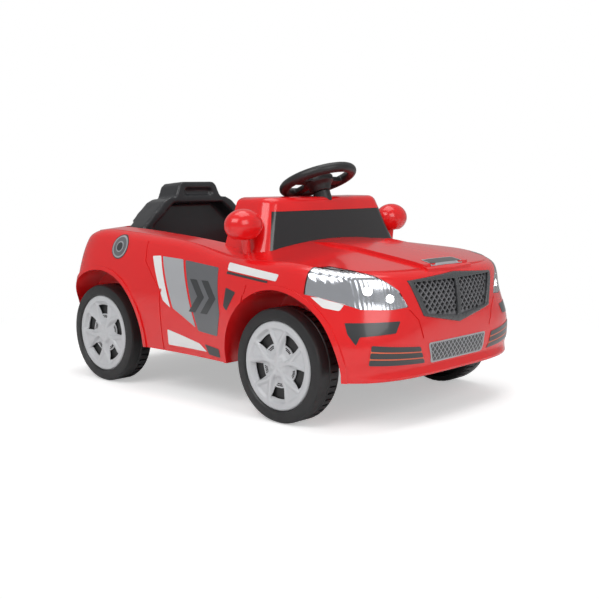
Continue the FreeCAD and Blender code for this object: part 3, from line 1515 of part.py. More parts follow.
case_end = size.case_inner + size.case_width
case_split = (size.case_inner + case_end) / 2
hollow = case_solid(-1.4 * size.case_wall, inside, case_end - size.case_wall)
axle_hole = Part.makeCylinder(size.axle_radius + 7, 80, Vector(rear_x, size.case_inner - 10, axle_z), Y_AXIS)
shaft_hole = Part.makeCylinder(4, 20, Vector(motor_at[0], size.case_inner - 5, motor_at[1]), Y_AXIS)
pin_foot = Vector(idler_at[0], inside - 1, idler_at[1])
idler_pin = Part.makeCylinder(3, size.case_width - size.case_wall - 1, pin_foot, Y_AXIS)
inner_case = case_solid(0, size.case_inner, case_split).cut([hollow, shaft_hole, axle_hole]).fuse(idler_pin)
outer_case = case_solid(0, case_split, case_end).cut(
    [hollow, axle_hole, Part.makeCylinder(3.1, 60, Vector(idler_at[0], inside, idler_at[1]), Y_AXIS)])
form("gearbox_inner_case", inner_case)
form("gearbox_outer_case", outer_case)

# Battery and control box on the pan
battery = body("battery", ("-190", "0", PAN_TOP))
cell = sketch(battery, "XY_Plane", "battery_outline")
outline(cell, [("-battery_width / 2", "-battery_length / 2"), ("battery_width / 2", "-battery_length / 2"),
               ("battery_width / 2", "battery_length / 2"), ("-battery_width / 2", "battery_length / 2")])
extrude(battery, "Pad", "battery_case", cell, "battery_height - 6")
lid = sketch(battery, "XY_Plane", "battery_lid", "battery_height - 6")
outline(lid, [
    ("3 - battery_width / 2", "3 - battery_length / 2"),
    ("battery_width / 2 - 3", "3 - battery_length / 2"),
    ("battery_width / 2 - 3", "battery_length / 2 - 3"),
    ("3 - battery_width / 2", "battery_length / 2 - 3"),
])
extrude(battery, "Pad", "battery_top", lid, "6")
node(battery)
control = body("control_box", (f"{FRONT_X} + 90", "0", PAN_TOP))
tray = sketch(control, "XY_Plane", "control_outline")
outline(tray, [("-35", "-50"), ("35", "-50"), ("35", "50"), ("-35", "50")])
extrude(control, "Pad", "control_case", tray, "28")
node(control)

# Foot pedal on a wedge base, hinged at the heel
HEEL_X = f"({FRONT_X} - arch_radius - 2 * skin - 2 - 12 - pedal_length)"
FLOOR_Z = f"({PAN_TOP} + skin)"
HEEL_Z = f"({FLOOR_Z} + 12)"
pedal = body("foot_pedal", (HEEL_X, "-pedal_offset", HEEL_Z), (-Y_AXIS, "pedal_tilt"))
tread = sketch(pedal, "XZ_Plane", "pedal_profile")
outline(tread, [
    ("-6", "5"), ("pedal_length - 8", "5"), ("pedal_length", "1"), ("pedal_length", "5 - pedal_thick"),
    ("8", "5 - pedal_thick"), ("6", "-6"), ("-6", "-6"),
])
extrude(pedal, "Pad", "pedal_plate", tread, "pedal_width", middle=True)
eye = sketch(pedal, "XZ_Plane", "pedal_eye")
circle(eye, "pedal_pin + axle_gap")
extrude(pedal, "Pocket", "pedal_bore", eye, "pedal_width + 2", middle=True)
ribs = sketch(pedal, "XZ_Plane", "pedal_ribs")
for step in range(6):
    spot = f"(20 + {step} * 11)"
    outline(ribs, [(f"{spot} - 2", "4"), (f"{spot} + 2", "4"), (f"{spot} + 1", "7"), (f"{spot} - 1", "7")])
extrude(pedal, "Pad", "pedal_grip", ribs, "pedal_width - 10", middle=True)
node(pedal)
base_parts = [block("pedal_floor", ("pedal_length + 8", "pedal_width + 16", "3"),
                    (f"{HEEL_X} + pedal_length / 2 - 8", "-pedal_offset", f"{FLOOR_Z} + 1.5"))]
for side_name, side in SIDES.items():
    base_parts.append(block("pedal_ear_" + side_name, ("14", "5", "18"),
                            (HEEL_X, f"{side} * (pedal_width / 2 + 3) - pedal_offset", f"{FLOOR_Z} + 9")))
base_parts.append(block("pedal_stop", ("16", "24", "10"),
                        (f"{HEEL_X} + pedal_length - 24", "-pedal_offset", f"{FLOOR_Z} + 5")))
base_parts.append(rod("pedal_pin_rod", "pedal_pin", "pedal_width + 11",
                      (HEEL_X, "-pedal_offset - pedal_width / 2 - 5.5", HEEL_Z), (-X_AXIS, "90")))
node(fuse("pedal_base", *base_parts))

doc.recompute()
for item in doc.Objects:
    if "Invalid" in item.State or "Error" in item.State:
        raise RuntimeError(f"{item.Label} failed: {item.State}")
for item in nodes:
    if item.Shape.isNull() or not item.Shape.isValid():
        raise RuntimeError(f"{item.Label} has no valid shape")
os.makedirs("parts", exist_ok=True)
for item in nodes:
    item.Shape.exportStep(f"parts/{item.Label}.step")
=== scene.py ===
import math
from collections import namedtuple

import bmesh
import bpy
from bpy.props import FloatProperty, FloatVectorProperty, PointerProperty
from mathutils import Matrix, Vector
from mathutils.bvhtree import BVHTree


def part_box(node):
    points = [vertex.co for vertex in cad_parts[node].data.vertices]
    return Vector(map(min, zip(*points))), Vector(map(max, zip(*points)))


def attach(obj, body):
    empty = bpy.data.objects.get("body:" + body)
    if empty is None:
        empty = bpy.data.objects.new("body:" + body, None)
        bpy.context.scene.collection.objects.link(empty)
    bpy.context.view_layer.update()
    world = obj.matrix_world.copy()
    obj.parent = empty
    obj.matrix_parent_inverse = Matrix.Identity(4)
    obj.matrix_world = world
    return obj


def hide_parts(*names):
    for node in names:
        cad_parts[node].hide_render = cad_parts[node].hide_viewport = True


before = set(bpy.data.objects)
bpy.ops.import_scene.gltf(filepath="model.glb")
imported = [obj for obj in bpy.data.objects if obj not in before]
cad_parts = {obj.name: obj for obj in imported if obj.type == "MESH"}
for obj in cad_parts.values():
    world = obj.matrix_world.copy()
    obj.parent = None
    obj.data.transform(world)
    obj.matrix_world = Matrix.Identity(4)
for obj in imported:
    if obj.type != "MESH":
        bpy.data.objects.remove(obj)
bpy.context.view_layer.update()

bl_info = {
    "name": "Ride-on Car",
    "version": (1, 0, 0),
    "blender": (4, 5, 0),
    "location": "View3D > Sidebar > Ride-on Car",
    "description": "Dresses the frame of a child's electric ride-on car",
    "category": "Object",
}

MM = 0.001


class RideOnColours(bpy.types.PropertyGroup):
    """Colours of the car's plastics and stickers, and of the painted highlight and shade."""

    def colour(name, description, default):
        return FloatVectorProperty(name=name, description=description, default=default, size=3,
                                   min=0.0, max=1.0, subtype="COLOR")

    bodywork: colour("Bodywork", "Glossy moulded body", (0.80, 0.010, 0.012))
    screen: colour("Screen", "Printed windscreen film", (0.016, 0.016, 0.018))
    wheel_cap: colour("Wheel caps", "Silver-grey caps", (0.60, 0.61, 0.63))
    tyre: colour("Tyres", "Blow-moulded wheels", (0.016, 0.016, 0.017))
    seat: colour("Seat", "Moulded seat", (0.022, 0.023, 0.026))
    # The palest and darkest sticker colours also paint the front fenders' highlight and crease shade.
    sticker_and_highlight_white: colour("White sticker and highlight", "Palest sticker colour", (0.86, 0.86, 0.86))
    sticker_light: colour("Light sticker", "Light grey sticker colour", (0.42, 0.43, 0.45))
    sticker_mid: colour("Middle sticker", "Middle grey sticker colour", (0.13, 0.135, 0.145))
    sticker_and_shade_dark: colour("Dark sticker and shade", "Darkest sticker colour", (0.035, 0.037, 0.04))
    sticker_orange: colour("Orange sticker", "Thin lines of the bumper stripes", (0.85, 0.14, 0.05))


class RideOnSizes(bpy.types.PropertyGroup):
    """Sizes of the dressing."""

    sticker_lift: FloatProperty(name="Sticker lift", description="Height of a sticker over the skin",
                                default=0.3 * MM, unit="LENGTH")
    sticker_thick: FloatProperty(name="Sticker thickness", description="Thickness of the vinyl",
                                 default=0.2 * MM, unit="LENGTH")
    sticker_grid: FloatProperty(name="Sticker grid", description="Spacing of the sticker's mesh",
                                default=6 * MM, unit="LENGTH")
    crease_angle: FloatProperty(name="Crease angle", description="Edges sharper than this stay sharp",
                                default=math.radians(32), subtype="ANGLE")
    skin_crease: FloatProperty(name="Skin crease", description="Crease angle of the rounded skins",
                               default=math.radians(55), subtype="ANGLE")
    net_pitch: FloatProperty(name="Net pitch", description="Spacing of the bumper's printed net",
                             default=13 * MM, unit="LENGTH")


def colours():
    return bpy.context.scene.ride_on_colours


def sizes():
    return bpy.context.scene.ride_on_sizes


# Finishes


def socket_of(shader, name, value):
    shader.inputs[name].default_value = value


def plain_shader(name):
    finish = bpy.data.materials.new(name)
    finish.use_nodes = True
    shader = next(n for n in finish.node_tree.nodes if n.type == "BSDF_PRINCIPLED")
    return finish, finish.node_tree.nodes, finish.node_tree.links, shader


def noise(nodes, links, where, scale, detail=2.0):
    field = nodes.new("ShaderNodeTexNoise")
    field.inputs["Scale"].default_value = scale
    field.inputs["Detail"].default_value = detail
    links.new(where.outputs["Object"], field.inputs["Vector"])
    return field


def spread(nodes, links, source, low, high):
    """Map a 0 to 1 field to a range."""
    ramp = nodes.new("ShaderNodeMapRange")
    ramp.inputs["From Min"].default_value = 0.3
    ramp.inputs["From Max"].default_value = 0.7
    ramp.inputs["To Min"].default_value = low
    ramp.inputs["To Max"].default_value = high
    links.new(source.outputs["Fac"], ramp.inputs["Value"])
    return ramp


def moulded(name, colour, rough, vary=0.05, cloud=9.0, grain=700.0, bump=0.04, coat=0.0,
            metallic=0.0, wear=1.0):
    """Moulded or painted finish: cloudy colour and gloss, with a fine surface grain."""
    if name in bpy.data.materials:
        return bpy.data.materials[name]
    finish, nodes, links, shader = plain_shader(name)
    where = nodes.new("ShaderNodeTexCoord")
    clouds = noise(nodes, links, where, cloud, 3.0)
    tint = nodes.new("ShaderNodeMix")
    tint.data_type = "RGBA"
    tint.inputs[6].default_value = (*[c * (1 - vary) for c in colour], 1)
    tint.inputs[7].default_value = (*[min(1.0, c * (1 + vary)) for c in colour], 1)
    links.new(clouds.outputs["Fac"], tint.inputs["Factor"])
    links.new(tint.outputs[2], shader.inputs["Base Color"])
    scuffs = noise(nodes, links, where, cloud * 5, 4.0)
    gloss = spread(nodes, links, scuffs, rough * (1 - 0.15 * wear), rough * (1 + 0.2 * wear))
    links.new(gloss.outputs["Result"], shader.inputs["Roughness"])
    if bump:
        fine = noise(nodes, links, where, grain, 2.0)
        relief = nodes.new("ShaderNodeBump")
        relief.inputs["Strength"].default_value = bump
        relief.inputs["Distance"].default_value = 0.2 * MM
        links.new(fine.outputs["Fac"], relief.inputs["Height"])
        links.new(relief.outputs["Normal"], shader.inputs["Normal"])
    socket_of(shader, "Metallic", metallic)
    if coat:
        socket_of(shader, "Coat Weight", coat)
        socket_of(shader, "Coat Roughness", 0.06)
    return finish


def body_red():
    return moulded("body red", colours().bodywork, 0.2, vary=0.02, cloud=2, bump=0.0, coat=0.35, wear=0.1)


def film_black():
    return moulded("screen film", colours().screen, 0.16, vary=0.15, cloud=5, grain=260, bump=0.02, coat=0.4)


def tyre_black():
    return moulded("tyre black", colours().tyre, 0.42, vary=0.2, cloud=14, grain=900, bump=0.1)


def cap_silver():
    return moulded("cap silver", colours().wheel_cap, 0.33, vary=0.03, cloud=18, grain=1500,
                   bump=0.05, coat=0.25)


def dark_plastic():
    return moulded("black plastic", (0.018, 0.018, 0.019), 0.4, vary=0.15, cloud=12, grain=800, bump=0.12)


# Near-black finish: painted shade that stands in for the dark inside holes and openings.
def painted_hole_shade():
    return moulded("dark holes", (0.006, 0.006, 0.006), 0.6, vary=0.2, bump=0.05)


def seat_black():
    return moulded("seat black", colours().seat, 0.34, vary=0.12, cloud=8, grain=1100, bump=0.16, coat=0.15)


def black_paint():
    return moulded("black paint", (0.02, 0.02, 0.021), 0.35, vary=0.15, cloud=20, grain=500, bump=0.05)


def zinc_steel():
    return moulded("zinc steel", (0.45, 0.45, 0.46), 0.36, vary=0.12, cloud=60, grain=1600,
                   bump=0.06, metallic=1.0)


def nylon_white():
    return moulded("nylon", (0.72, 0.72, 0.69), 0.45, vary=0.04, cloud=30, grain=1200, bump=0.06)


def case_grey():
    return moulded("gearbox grey", (0.12, 0.12, 0.125), 0.5, vary=0.1, cloud=18, grain=700, bump=0.14)


def button_red():
    return moulded("button red", (0.5, 0.015, 0.015), 0.28, vary=0.05, cloud=30, bump=0.03, coat=0.3)


def grille_grey():
    return moulded("grille grey", (0.06, 0.062, 0.066), 0.28, vary=0.1, cloud=14, grain=900,
                   bump=0.05, coat=0.3)


def net_grey():
    return moulded("net grey", (0.17, 0.17, 0.18), 0.34, vary=0.12, cloud=30, grain=900, bump=0.06)


def tail_red():
    return moulded("tail lens", (0.3, 0.004, 0.006), 0.14, vary=0.08, cloud=40, grain=160,
                   bump=0.12, coat=0.8)


def chrome_bowl():
    """Bright reflector with moulded flutes."""
    if "chrome bowl" in bpy.data.materials:
        return bpy.data.materials["chrome bowl"]
    finish, nodes, links, shader = plain_shader("chrome bowl")
    where = nodes.new("ShaderNodeTexCoord")
    flutes = nodes.new("ShaderNodeTexWave")
    flutes.inputs["Scale"].default_value = 45
    flutes.bands_direction = "Y"
    links.new(where.outputs["Object"], flutes.inputs["Vector"])
    relief = nodes.new("ShaderNodeBump")
    relief.inputs["Strength"].default_value = 0.35
    relief.inputs["Distance"].default_value = 1 * MM
    links.new(flutes.outputs["Fac"], relief.inputs["Height"])
    links.new(relief.outputs["Normal"], shader.inputs["Normal"])
    haze = spread(nodes, links, noise(nodes, links, where, 50), 0.1, 0.2)
    links.new(haze.outputs["Result"], shader.inputs["Roughness"])
    socket_of(shader, "Base Color", (0.7, 0.71, 0.73, 1))
    socket_of(shader, "Metallic", 1.0)
    return finish


def clear_lens():
    """Clear lamp cover with a faint, uneven haze."""
    if "clear lens" in bpy.data.materials:
        return bpy.data.materials["clear lens"]
    finish, nodes, links, shader = plain_shader("clear lens")
    where = nodes.new("ShaderNodeTexCoord")
    haze = spread(nodes, links, noise(nodes, links, where, 40), 0.02, 0.06)
    links.new(haze.outputs["Result"], shader.inputs["Roughness"])
    socket_of(shader, "Base Color", (0.97, 0.98, 1.0, 1))
    socket_of(shader, "Transmission Weight", 1.0)
    socket_of(shader, "IOR", 1.49)
    return finish


def lit_bulb():
    """Frosted bulb that is switched on."""
    if "lit bulb" in bpy.data.materials:
        return bpy.data.materials["lit bulb"]
    finish, nodes, links, shader = plain_shader("lit bulb")
    where = nodes.new("ShaderNodeTexCoord")
    frost = spread(nodes, links, noise(nodes, links, where, 300), 0.3, 0.5)
    links.new(frost.outputs["Result"], shader.inputs["Roughness"])
    socket_of(shader, "Base Color", (0.95, 0.94, 0.9, 1))
    socket_of(shader, "Emission Color", (1.0, 0.98, 0.93, 1))
    socket_of(shader, "Emission Strength", 9.0)
    return finish


def mirror_silver():
    return moulded("mirror silver", (0.82, 0.84, 0.86), 0.05, vary=0.02, cloud=30, bump=0.0, metallic=1.0)


def vinyl(name, colour):
    return moulded("vinyl " + name, colour, 0.3, vary=0.03, cloud=8, bump=0.0, coat=0.35, wear=0.2)


# Mesh helpers


def smooth(low, high, value):
    """Soft step from 0 at low to 1 at high."""
    share = min(1.0, max(0.0, (value - low) / (high - low)))
    return share * share * (3 - 2 * share)


def add_object(name, mesh):
    piece = bpy.data.objects.new(name, mesh)
    bpy.context.scene.collection.objects.link(piece)
    return piece


def merged_copy(name, *nodes, crease=None):
    """One joined mesh of CAD nodes with shared corners, smooth but for its creases."""
    work = bmesh.new()
    for node in nodes:
        work.from_mesh(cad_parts[node].data)
    bmesh.ops.remove_doubles(work, verts=work.verts, dist=0.004 * MM)
    for face in work.faces:
        face.smooth = True
    mesh = bpy.data.meshes.new(name)
    work.to_mesh(mesh)
    work.free()
    mesh.materials.clear()
    if "custom_normal" in mesh.attributes:
        mesh.attributes.remove(mesh.attributes["custom_normal"])
    mesh.set_sharp_from_angle(angle=crease or sizes().crease_angle)
    return add_object(name, mesh)


def settle(piece):
    """Apply the piece's modifiers to its mesh."""
    view = bpy.context.evaluated_depsgraph_get()
    mesh = bpy.data.meshes.new_from_object(piece.evaluated_get(view))
    piece.modifiers.clear()
    old = piece.data
    piece.data = mesh
    mesh.name = piece.name
    bpy.data.meshes.remove(old)
    return piece


def dress(piece, finish, body, slot, *replaced):
    piece.data.materials.clear()
    piece.data.materials.append(finish)
    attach(piece, body)
    if replaced:
        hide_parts(*replaced)
    return piece


def even_shading(piece):
    """Weight the corner normals by face size, so that long faces shade flat."""
    weigh = piece.modifiers.new("even", "WEIGHTED_NORMAL")
    weigh.keep_sharp = True
    weigh.weight = 60
    return settle(piece)


def softened(piece, voxel, passes):
    """Rounded moulding: an even remesh, relaxed a little."""
    remesh = piece.modifiers.new("even", "REMESH")
    remesh.mode = "VOXEL"
    remesh.voxel_size = voxel
    remesh.use_smooth_shade = True
    relax = piece.modifiers.new("relax", "SMOOTH")
    relax.factor = 0.5
    relax.iterations = passes
    settle(piece)
    for face in piece.data.polygons:
        face.use_smooth = True
    return piece


def repaint(finish, *nodes):
    for node in nodes:
        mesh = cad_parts[node].data
        mesh.materials.clear()
        mesh.materials.append(finish)


def repeat_tree():
    """Node tree that sets one small piece on every point of a mesh."""
    if "repeat piece" in bpy.data.node_groups:
        return bpy.data.node_groups["repeat piece"]
    tree = bpy.data.node_groups.new("repeat piece", "GeometryNodeTree")
    interface = tree.interface
    interface.new_socket("Points", in_out="INPUT", socket_type="NodeSocketGeometry")
    interface.new_socket("Piece", in_out="INPUT", socket_type="NodeSocketObject")
    interface.new_socket("Finish", in_out="INPUT", socket_type="NodeSocketMaterial")
    interface.new_socket("Scale", in_out="INPUT", socket_type="NodeSocketFloat").default_value = 1.0
    interface.new_socket("Result", in_out="OUTPUT", socket_type="NodeSocketGeometry")
    nodes, links = tree.nodes, tree.links
    start = nodes.new("NodeGroupInput")
    end = nodes.new("NodeGroupOutput")
    info = nodes.new("GeometryNodeObjectInfo")
    place = nodes.new("GeometryNodeInstanceOnPoints")
    real = nodes.new("GeometryNodeRealizeInstances")
    paint = nodes.new("GeometryNodeSetMaterial")
    links.new(start.outputs["Piece"], info.inputs["Object"])
    links.new(start.outputs["Points"], place.inputs["Points"])
    links.new(info.outputs["Geometry"], place.inputs["Instance"])
    links.new(start.outputs["Scale"], place.inputs["Scale"])
    links.new(place.outputs["Instances"], real.inputs["Geometry"])
    links.new(real.outputs["Geometry"], paint.inputs["Geometry"])
    links.new(start.outputs["Finish"], paint.inputs["Material"])
    links.new(paint.outputs["Geometry"], end.inputs["Result"])
    return tree


def repeated(name, points, cell, finish, scale=1.0):
    """A plain mesh of one small cell set on every point."""
    mesh = bpy.data.meshes.new(name)
    mesh.from_pydata([tuple(point) for point in points], [], [])
    holder = add_object(name, mesh)
    pattern = add_object(name + "_cell", cell)
    tree = repeat_tree()
    sockets = {item.name: item.identifier for item in tree.interface.items_tree if item.in_out == "INPUT"}
    nodes = holder.modifiers.new("repeat", "NODES")
    nodes.node_group = tree
    nodes[sockets["Piece"]] = pattern
    nodes[sockets["Finish"]] = finish
    nodes[sockets["Scale"]] = scale
    settle(holder)
    bpy.data.objects.remove(pattern)
    return holder


# Stickers


def rounded(points, radius, steps=4):
    """Corner points of a flat outline with each corner turned to an arc."""
    flat = [Vector(point) for point in points]
    found = []
    for index, corner in enumerate(flat):
        before = flat[index - 1] - corner
        after = flat[(index + 1) % len(flat)] - corner
        reach = min(radius, before.length * 0.45, after.length * 0.45)
        start = corner + before.normalized() * reach
        stop = corner + after.normalized() * reach
        for step in range(steps + 1):
            t = step / steps
            found.append((1 - t) ** 2 * start + 2 * t * (1 - t) * corner + t ** 2 * stop)
    return found


def disc(centre, radius, steps=40):
    turn = 2 * math.pi / steps
    return [Vector((centre[0] + radius * math.cos(i * turn), centre[1] + radius * math.sin(i * turn)))
            for i in range(steps)]


class Projector:
    """Lays flat outlines on the skin: across and up span the drawing, inward points at the car."""

    NUDGES = ((0.0, 0.0), (0.0004, 0.0002), (-0.0003, 0.0004))
    STAND_OFF = 1.5
    LAYER_STEP = 1.6

    def __init__(self, skin, across, up, inward):
        self.skin = skin
        self.across = Vector(across).normalized()
        self.up = Vector(up).normalized()
        self.inward = Vector(inward).normalized()

    def onto(self, flat, lift):
        """Point on the skin; the nudged casts keep a ray from slipping between two triangles."""
        hits = []
        for aside, above in self.NUDGES:
            start = self.across * (flat[0] + aside) + self.up * (flat[1] + above)
            start -= self.inward * self.STAND_OFF
            spot, normal, _, depth = self.skin.ray_cast(start, self.inward)
            if spot is not None:
                hits.append((depth, normal))
        if not hits:
            return None
        depth, normal = min(hits, key=lambda hit: hit[0])
        if normal.dot(self.inward) > 0:
            normal = -normal
        along = depth - self.STAND_OFF
        return self.across * flat[0] + self.up * flat[1] + self.inward * along + normal * lift

    def grid_cut(self, work, step):
        for axis in (Vector((1, 0, 0)), Vector((0, 1, 0))):
            along = [vert.co.dot(axis) for vert in work.verts]
            spot = math.floor(min(along) / step) * step + step
            while spot < max(along):
                geometry = work.verts[:] + work.edges[:] + work.faces[:]
                bmesh.ops.bisect_plane(work, geom=geometry, plane_co=axis * spot, plane_no=axis, dist=1e-6)
                spot += step

    def settle_on(self, name, work, layer):
        """Move a flat drawing onto the skin and give it the vinyl's thickness."""
        lift = sizes().sticker_lift + layer * self.LAYER_STEP * sizes().sticker_thick
        lost = []
        for vert in work.verts:
            spot = self.onto(vert.co, lift)
            if spot is None:
                lost.append(vert)
            else:
                vert.co = spot
        bmesh.ops.delete(work, geom=lost, context="VERTS")
        work.normal_update()
        turned = [face for face in work.faces if face.normal.dot(self.inward) > 0]
        bmesh.ops.reverse_faces(work, faces=turned)
        for face in work.faces:
            face.smooth = True
        mesh = bpy.data.meshes.new(name)
        work.to_mesh(mesh)
        work.free()
        piece = add_object(name, mesh)
        wall = piece.modifiers.new("vinyl", "SOLIDIFY")
        wall.thickness = sizes().sticker_thick
        wall.offset = 1.0
        settle(piece)
        piece.data.set_sharp_from_angle(angle=sizes().crease_angle)
        return piece

    def drawn(self, name, outlines, layer=0):
        """Sticker of one or more flat outlines, in millimetres."""
        work = bmesh.new()
        for points in outlines:
            verts = [work.verts.new((point[0] * MM, point[1] * MM, 0)) for point in points]
            work.faces.new(verts)
        self.grid_cut(work, sizes().sticker_grid)
        return self.settle_on(name, work, layer)

    def laid(self, piece, inside, layer=0):
        """Lay an existing flat mesh on the skin, keeping what lies inside an outline."""
        work = bmesh.new()
        work.from_mesh(piece.data)
        name = piece.name
        bpy.data.objects.remove(piece)
        outer = [face for face in work.faces if not inside(face.calc_center_median() / MM)]
        bmesh.ops.delete(work, geom=outer, context="FACES")
        self.grid_cut(work, sizes().sticker_grid)
        return self.settle_on(name, work, layer)


def within(points):
    """Test of whether a flat point lies inside an outline."""
    def inside(spot):
        found = False
        for index, here in enumerate(points):
            there = points[index - 1]
            if (here[1] > spot[1]) != (there[1] > spot[1]):
                across = here[0] + (spot[1] - here[1]) * (there[0] - here[0]) / (there[1] - here[1])
                found ^= spot[0] < across
        return found
    return inside


def diamond_cell(pitch, bar):
    """Flat diamond ring, one cell of a net."""
    outer, inner = pitch / 2, pitch / 2 - bar
    mesh = bpy.data.meshes.new("net cell")
    ends = [(1, 0), (0, 1), (-1, 0), (0, -1)]
    points = [(x * outer, y * outer, 0) for x, y in ends] + [(x * inner, y * inner, 0) for x, y in ends]
    mesh.from_pydata(points, [], [(i, (i + 1) % 4, (i + 1) % 4 + 4, i + 4) for i in range(4)])
    return mesh


# Operators


class RIDEON_OT_bodywork(bpy.types.Operator):
    """Dress the moulded body, the screen cowl and the mirror pods"""

    bl_idname = "ride_on.bodywork"
    bl_label = "Bodywork"

    POD = (118, 241, 374)
    POD_FOOT = 349
    POD_SWELL = 1.1

    def mirror(self, side):
        """Fuller pod over its stem, with its glass."""
        tag = "right" if side < 0 else "left"
        centre = Vector((self.POD[0], side * self.POD[1], self.POD[2])) * MM
        for name, finish, slot in (("mirror_", body_red(), "body_red"),
                                   ("mirror_glass_", mirror_silver(), "mirror_glass")):
            piece = merged_copy("dressed_" + name + tag, name + tag, crease=sizes().skin_crease)
            for vert in piece.data.vertices:
                if vert.co.z > self.POD_FOOT * MM:
                    vert.co = centre + (vert.co - centre) * self.POD_SWELL
            dress(piece, finish, "chassis", slot, name + tag)

    def execute(self, context):
        for name in ("body_shell", "windscreen_cowl"):
            skin = merged_copy("dressed_" + name, name, crease=sizes().skin_crease)
            dress(skin, body_red(), "chassis", "body_red", name)
        for side in (-1, 1):
            self.mirror(side)
        film = merged_copy("dressed_screen", "windscreen_film")
        dress(film, film_black(), "chassis", "screen_film", "windscreen_film")
        return {"FINISHED"}


class RIDEON_OT_stickers(bpy.types.Operator):
    """Lay the plain livery, the bumper stripes, the printed net, and painted highlight and shade on the body
    """

    bl_idname = "ride_on.stickers"
    bl_label = "Stickers"

    FLANK = {
        "white": [[(-132, 300), (-106, 302), (-62, 194), (-86, 208)],
                  [(334, 258), (398, 241), (393, 229), (366, 234)],
                  [(-76, 146), (26, 127), (48, 112), (-78, 112)]],
        "light": [[(-100, 301), (-34, 298), (18, 160), (-54, 194)]],
        "mid": [[(-26, 297), (84, 289), (98, 196), (88, 150), (26, 154)]],
        "dark": [[(116, 252), (146, 245), (120, 206), (110, 214)],
                 [(44, 128), (88, 123), (90, 105), (54, 107)]],
    }
    CHEVRONS = [[(-2, 260), (20, 260), (48, 226), (20, 192), (-2, 192), (26, 226)],
                [(36, 260), (58, 260), (86, 226), (58, 192), (36, 192), (64, 226)]]
    # Front fender's shoulder: the white band is a painted highlight, the dark line under it painted shade.
    SHOULDER_HIGHLIGHT = [(112, 301), (262, 288), (258, 275), (114, 286)]
    SHOULDER_SHADE_LINE = [(113, 284), (236, 274), (234, 270), (113, 279)]
    FILLER = (-250, 314)
    FILLER_RINGS = ((27, "dark"), (24.5, "light"), (21, "mid"), (12, "light"), (9.5, "dark"))
    CHEEK_SLANT = math.radians(52)
    BAR_SHARES = ((0.0, 0.29), (0.355, 0.645), (0.71, 1.0))
    BUMPER_NET = [(-98, 159), (98, 159), (88, 119), (-88, 119)]
    NET_MIDDLE = 139
    NET_INSET = (0.955, 0.86)
    NET_BAR = 0.07
    GRILLE = [(-132, 274), (0, 283), (132, 274), (104, 214), (0, 196), (-104, 214)]
    BADGE = [(418, -52), (446, -54), (446, 54), (418, 52)]
    BADGE_MIDDLE = 432
    BADGE_INSET = (0.8, 0.93)

    def lay(self, piece, finish):
        dress(piece, finish, "chassis", None)

    def flank(self, skin, side, paints):
        wall = Projector(skin, (1, 0, 0), (0, 0, 1), (0, -side, 0))
        tag = "right" if side < 0 else "left"
        for shade, outlines in self.FLANK.items():
            piece = wall.drawn(f"livery_{shade}_{tag}", [rounded(points, 3) for points in outlines])
            self.lay(piece, paints[shade])
        piece = wall.drawn(f"livery_chevrons_{tag}", [rounded(points, 1.5) for points in self.CHEVRONS], 1)
        self.lay(piece, paints["dark"])
        # Painted highlight on the fender's shoulder, then painted shade along the crease under it.
        piece = wall.drawn(f"fender_strip_{tag}", [rounded(self.SHOULDER_HIGHLIGHT, 3)])
        self.lay(piece, paints["white"])
        piece = wall.drawn(f"fender_strip_line_{tag}", [self.SHOULDER_SHADE_LINE])
        self.lay(piece, paints["dark"])
        for layer, (radius, shade) in enumerate(self.FILLER_RINGS):
            piece = wall.drawn(f"filler_disc_{layer}_{tag}", [disc(self.FILLER, radius)], layer)
            self.lay(piece, paints[shade])

    def cheek(self, skin, side, paints):
        """Stripes and the dark patch on a front corner, seen square to the corner."""
        slant = self.CHEEK_SLANT
        across = (-math.sin(slant), side * math.cos(slant), 0)
        corner = Projector(skin, across, (0, 0, 1), (-math.cos(slant), -side * math.sin(slant), 0))
        tag = "right" if side < 0 else "left"

        def flat(x, y, z):
            return Vector((Vector((x, side * y, 0)).dot(corner.across), z))

        patch = [flat(411, 271, 208), flat(466, 177, 207), flat(464, 187, 186), flat(432, 252, 183),
                 flat(427, 257, 168), flat(415, 267, 188)]
        piece = corner.drawn("cheek_patch_" + tag, [rounded(patch, 2)])
        self.lay(piece, paints["dark"])
        ends = (flat(440, 236, 130), flat(445, 234, 167), flat(472, 122, 155), flat(471, 106, 122))
        piece = corner.drawn("bumper_bar_gaps_" + tag, [rounded(ends, 6)])
        self.lay(piece, paints["orange"])
        bars = []
        for low, high in self.BAR_SHARES:
            near = [ends[0].lerp(ends[1], share) for share in (low, high)]
            far = [ends[3].lerp(ends[2], share) for share in (low, high)]
            bars.append([near[0], near[1], far[1], far[0]])
        piece = corner.drawn("bumper_bars_" + tag, [rounded(bar, 3) for bar in bars], 1)
        self.lay(piece, paints["dark"])

    def nose(self, skin, paints):
        front = Projector(skin, (0, 1, 0), (0, 0, 1), (-1, 0, 0))
        # Near-black sheet on the grille's outline: painted shade behind the grille frame and its net.
        shade_sheet = front.drawn("grille_backing", [self.GRILLE])
        self.lay(shade_sheet, painted_hole_shade())
        base = front.drawn("bumper_net_base", [rounded(self.BUMPER_NET, 6)])
        self.lay(base, paints["dark"])
        middle, (narrow, low) = self.NET_MIDDLE, self.NET_INSET
        inner = [(y * narrow, middle + (z - middle) * low) for y, z in self.BUMPER_NET]
        strip = self.frame_of(rounded(self.BUMPER_NET, 6), rounded(inner, 5))
        border = front.drawn("bumper_net_border", strip, 1)
        self.lay(border, paints["light"])
        pitch = sizes().net_pitch
        spots = []
        for row in range(-4, 5):
            for column in range(-9, 10):
                spots.append(((column + 0.5 * (row % 2)) * pitch, middle * MM + row * pitch / 2, 0))
        net = repeated("bumper_net", spots, diamond_cell(pitch, pitch * self.NET_BAR), paints["light"])
        net = front.laid(net, within(inner), 1)
        self.lay(net, paints["light"])

    def frame_of(self, outer, inner):
        """Strip of four-sided patches between two outlines of equal length."""
        count = len(outer)
        return [[outer[i], outer[(i + 1) % count], inner[(i + 1) % count], inner[i]] for i in range(count)]

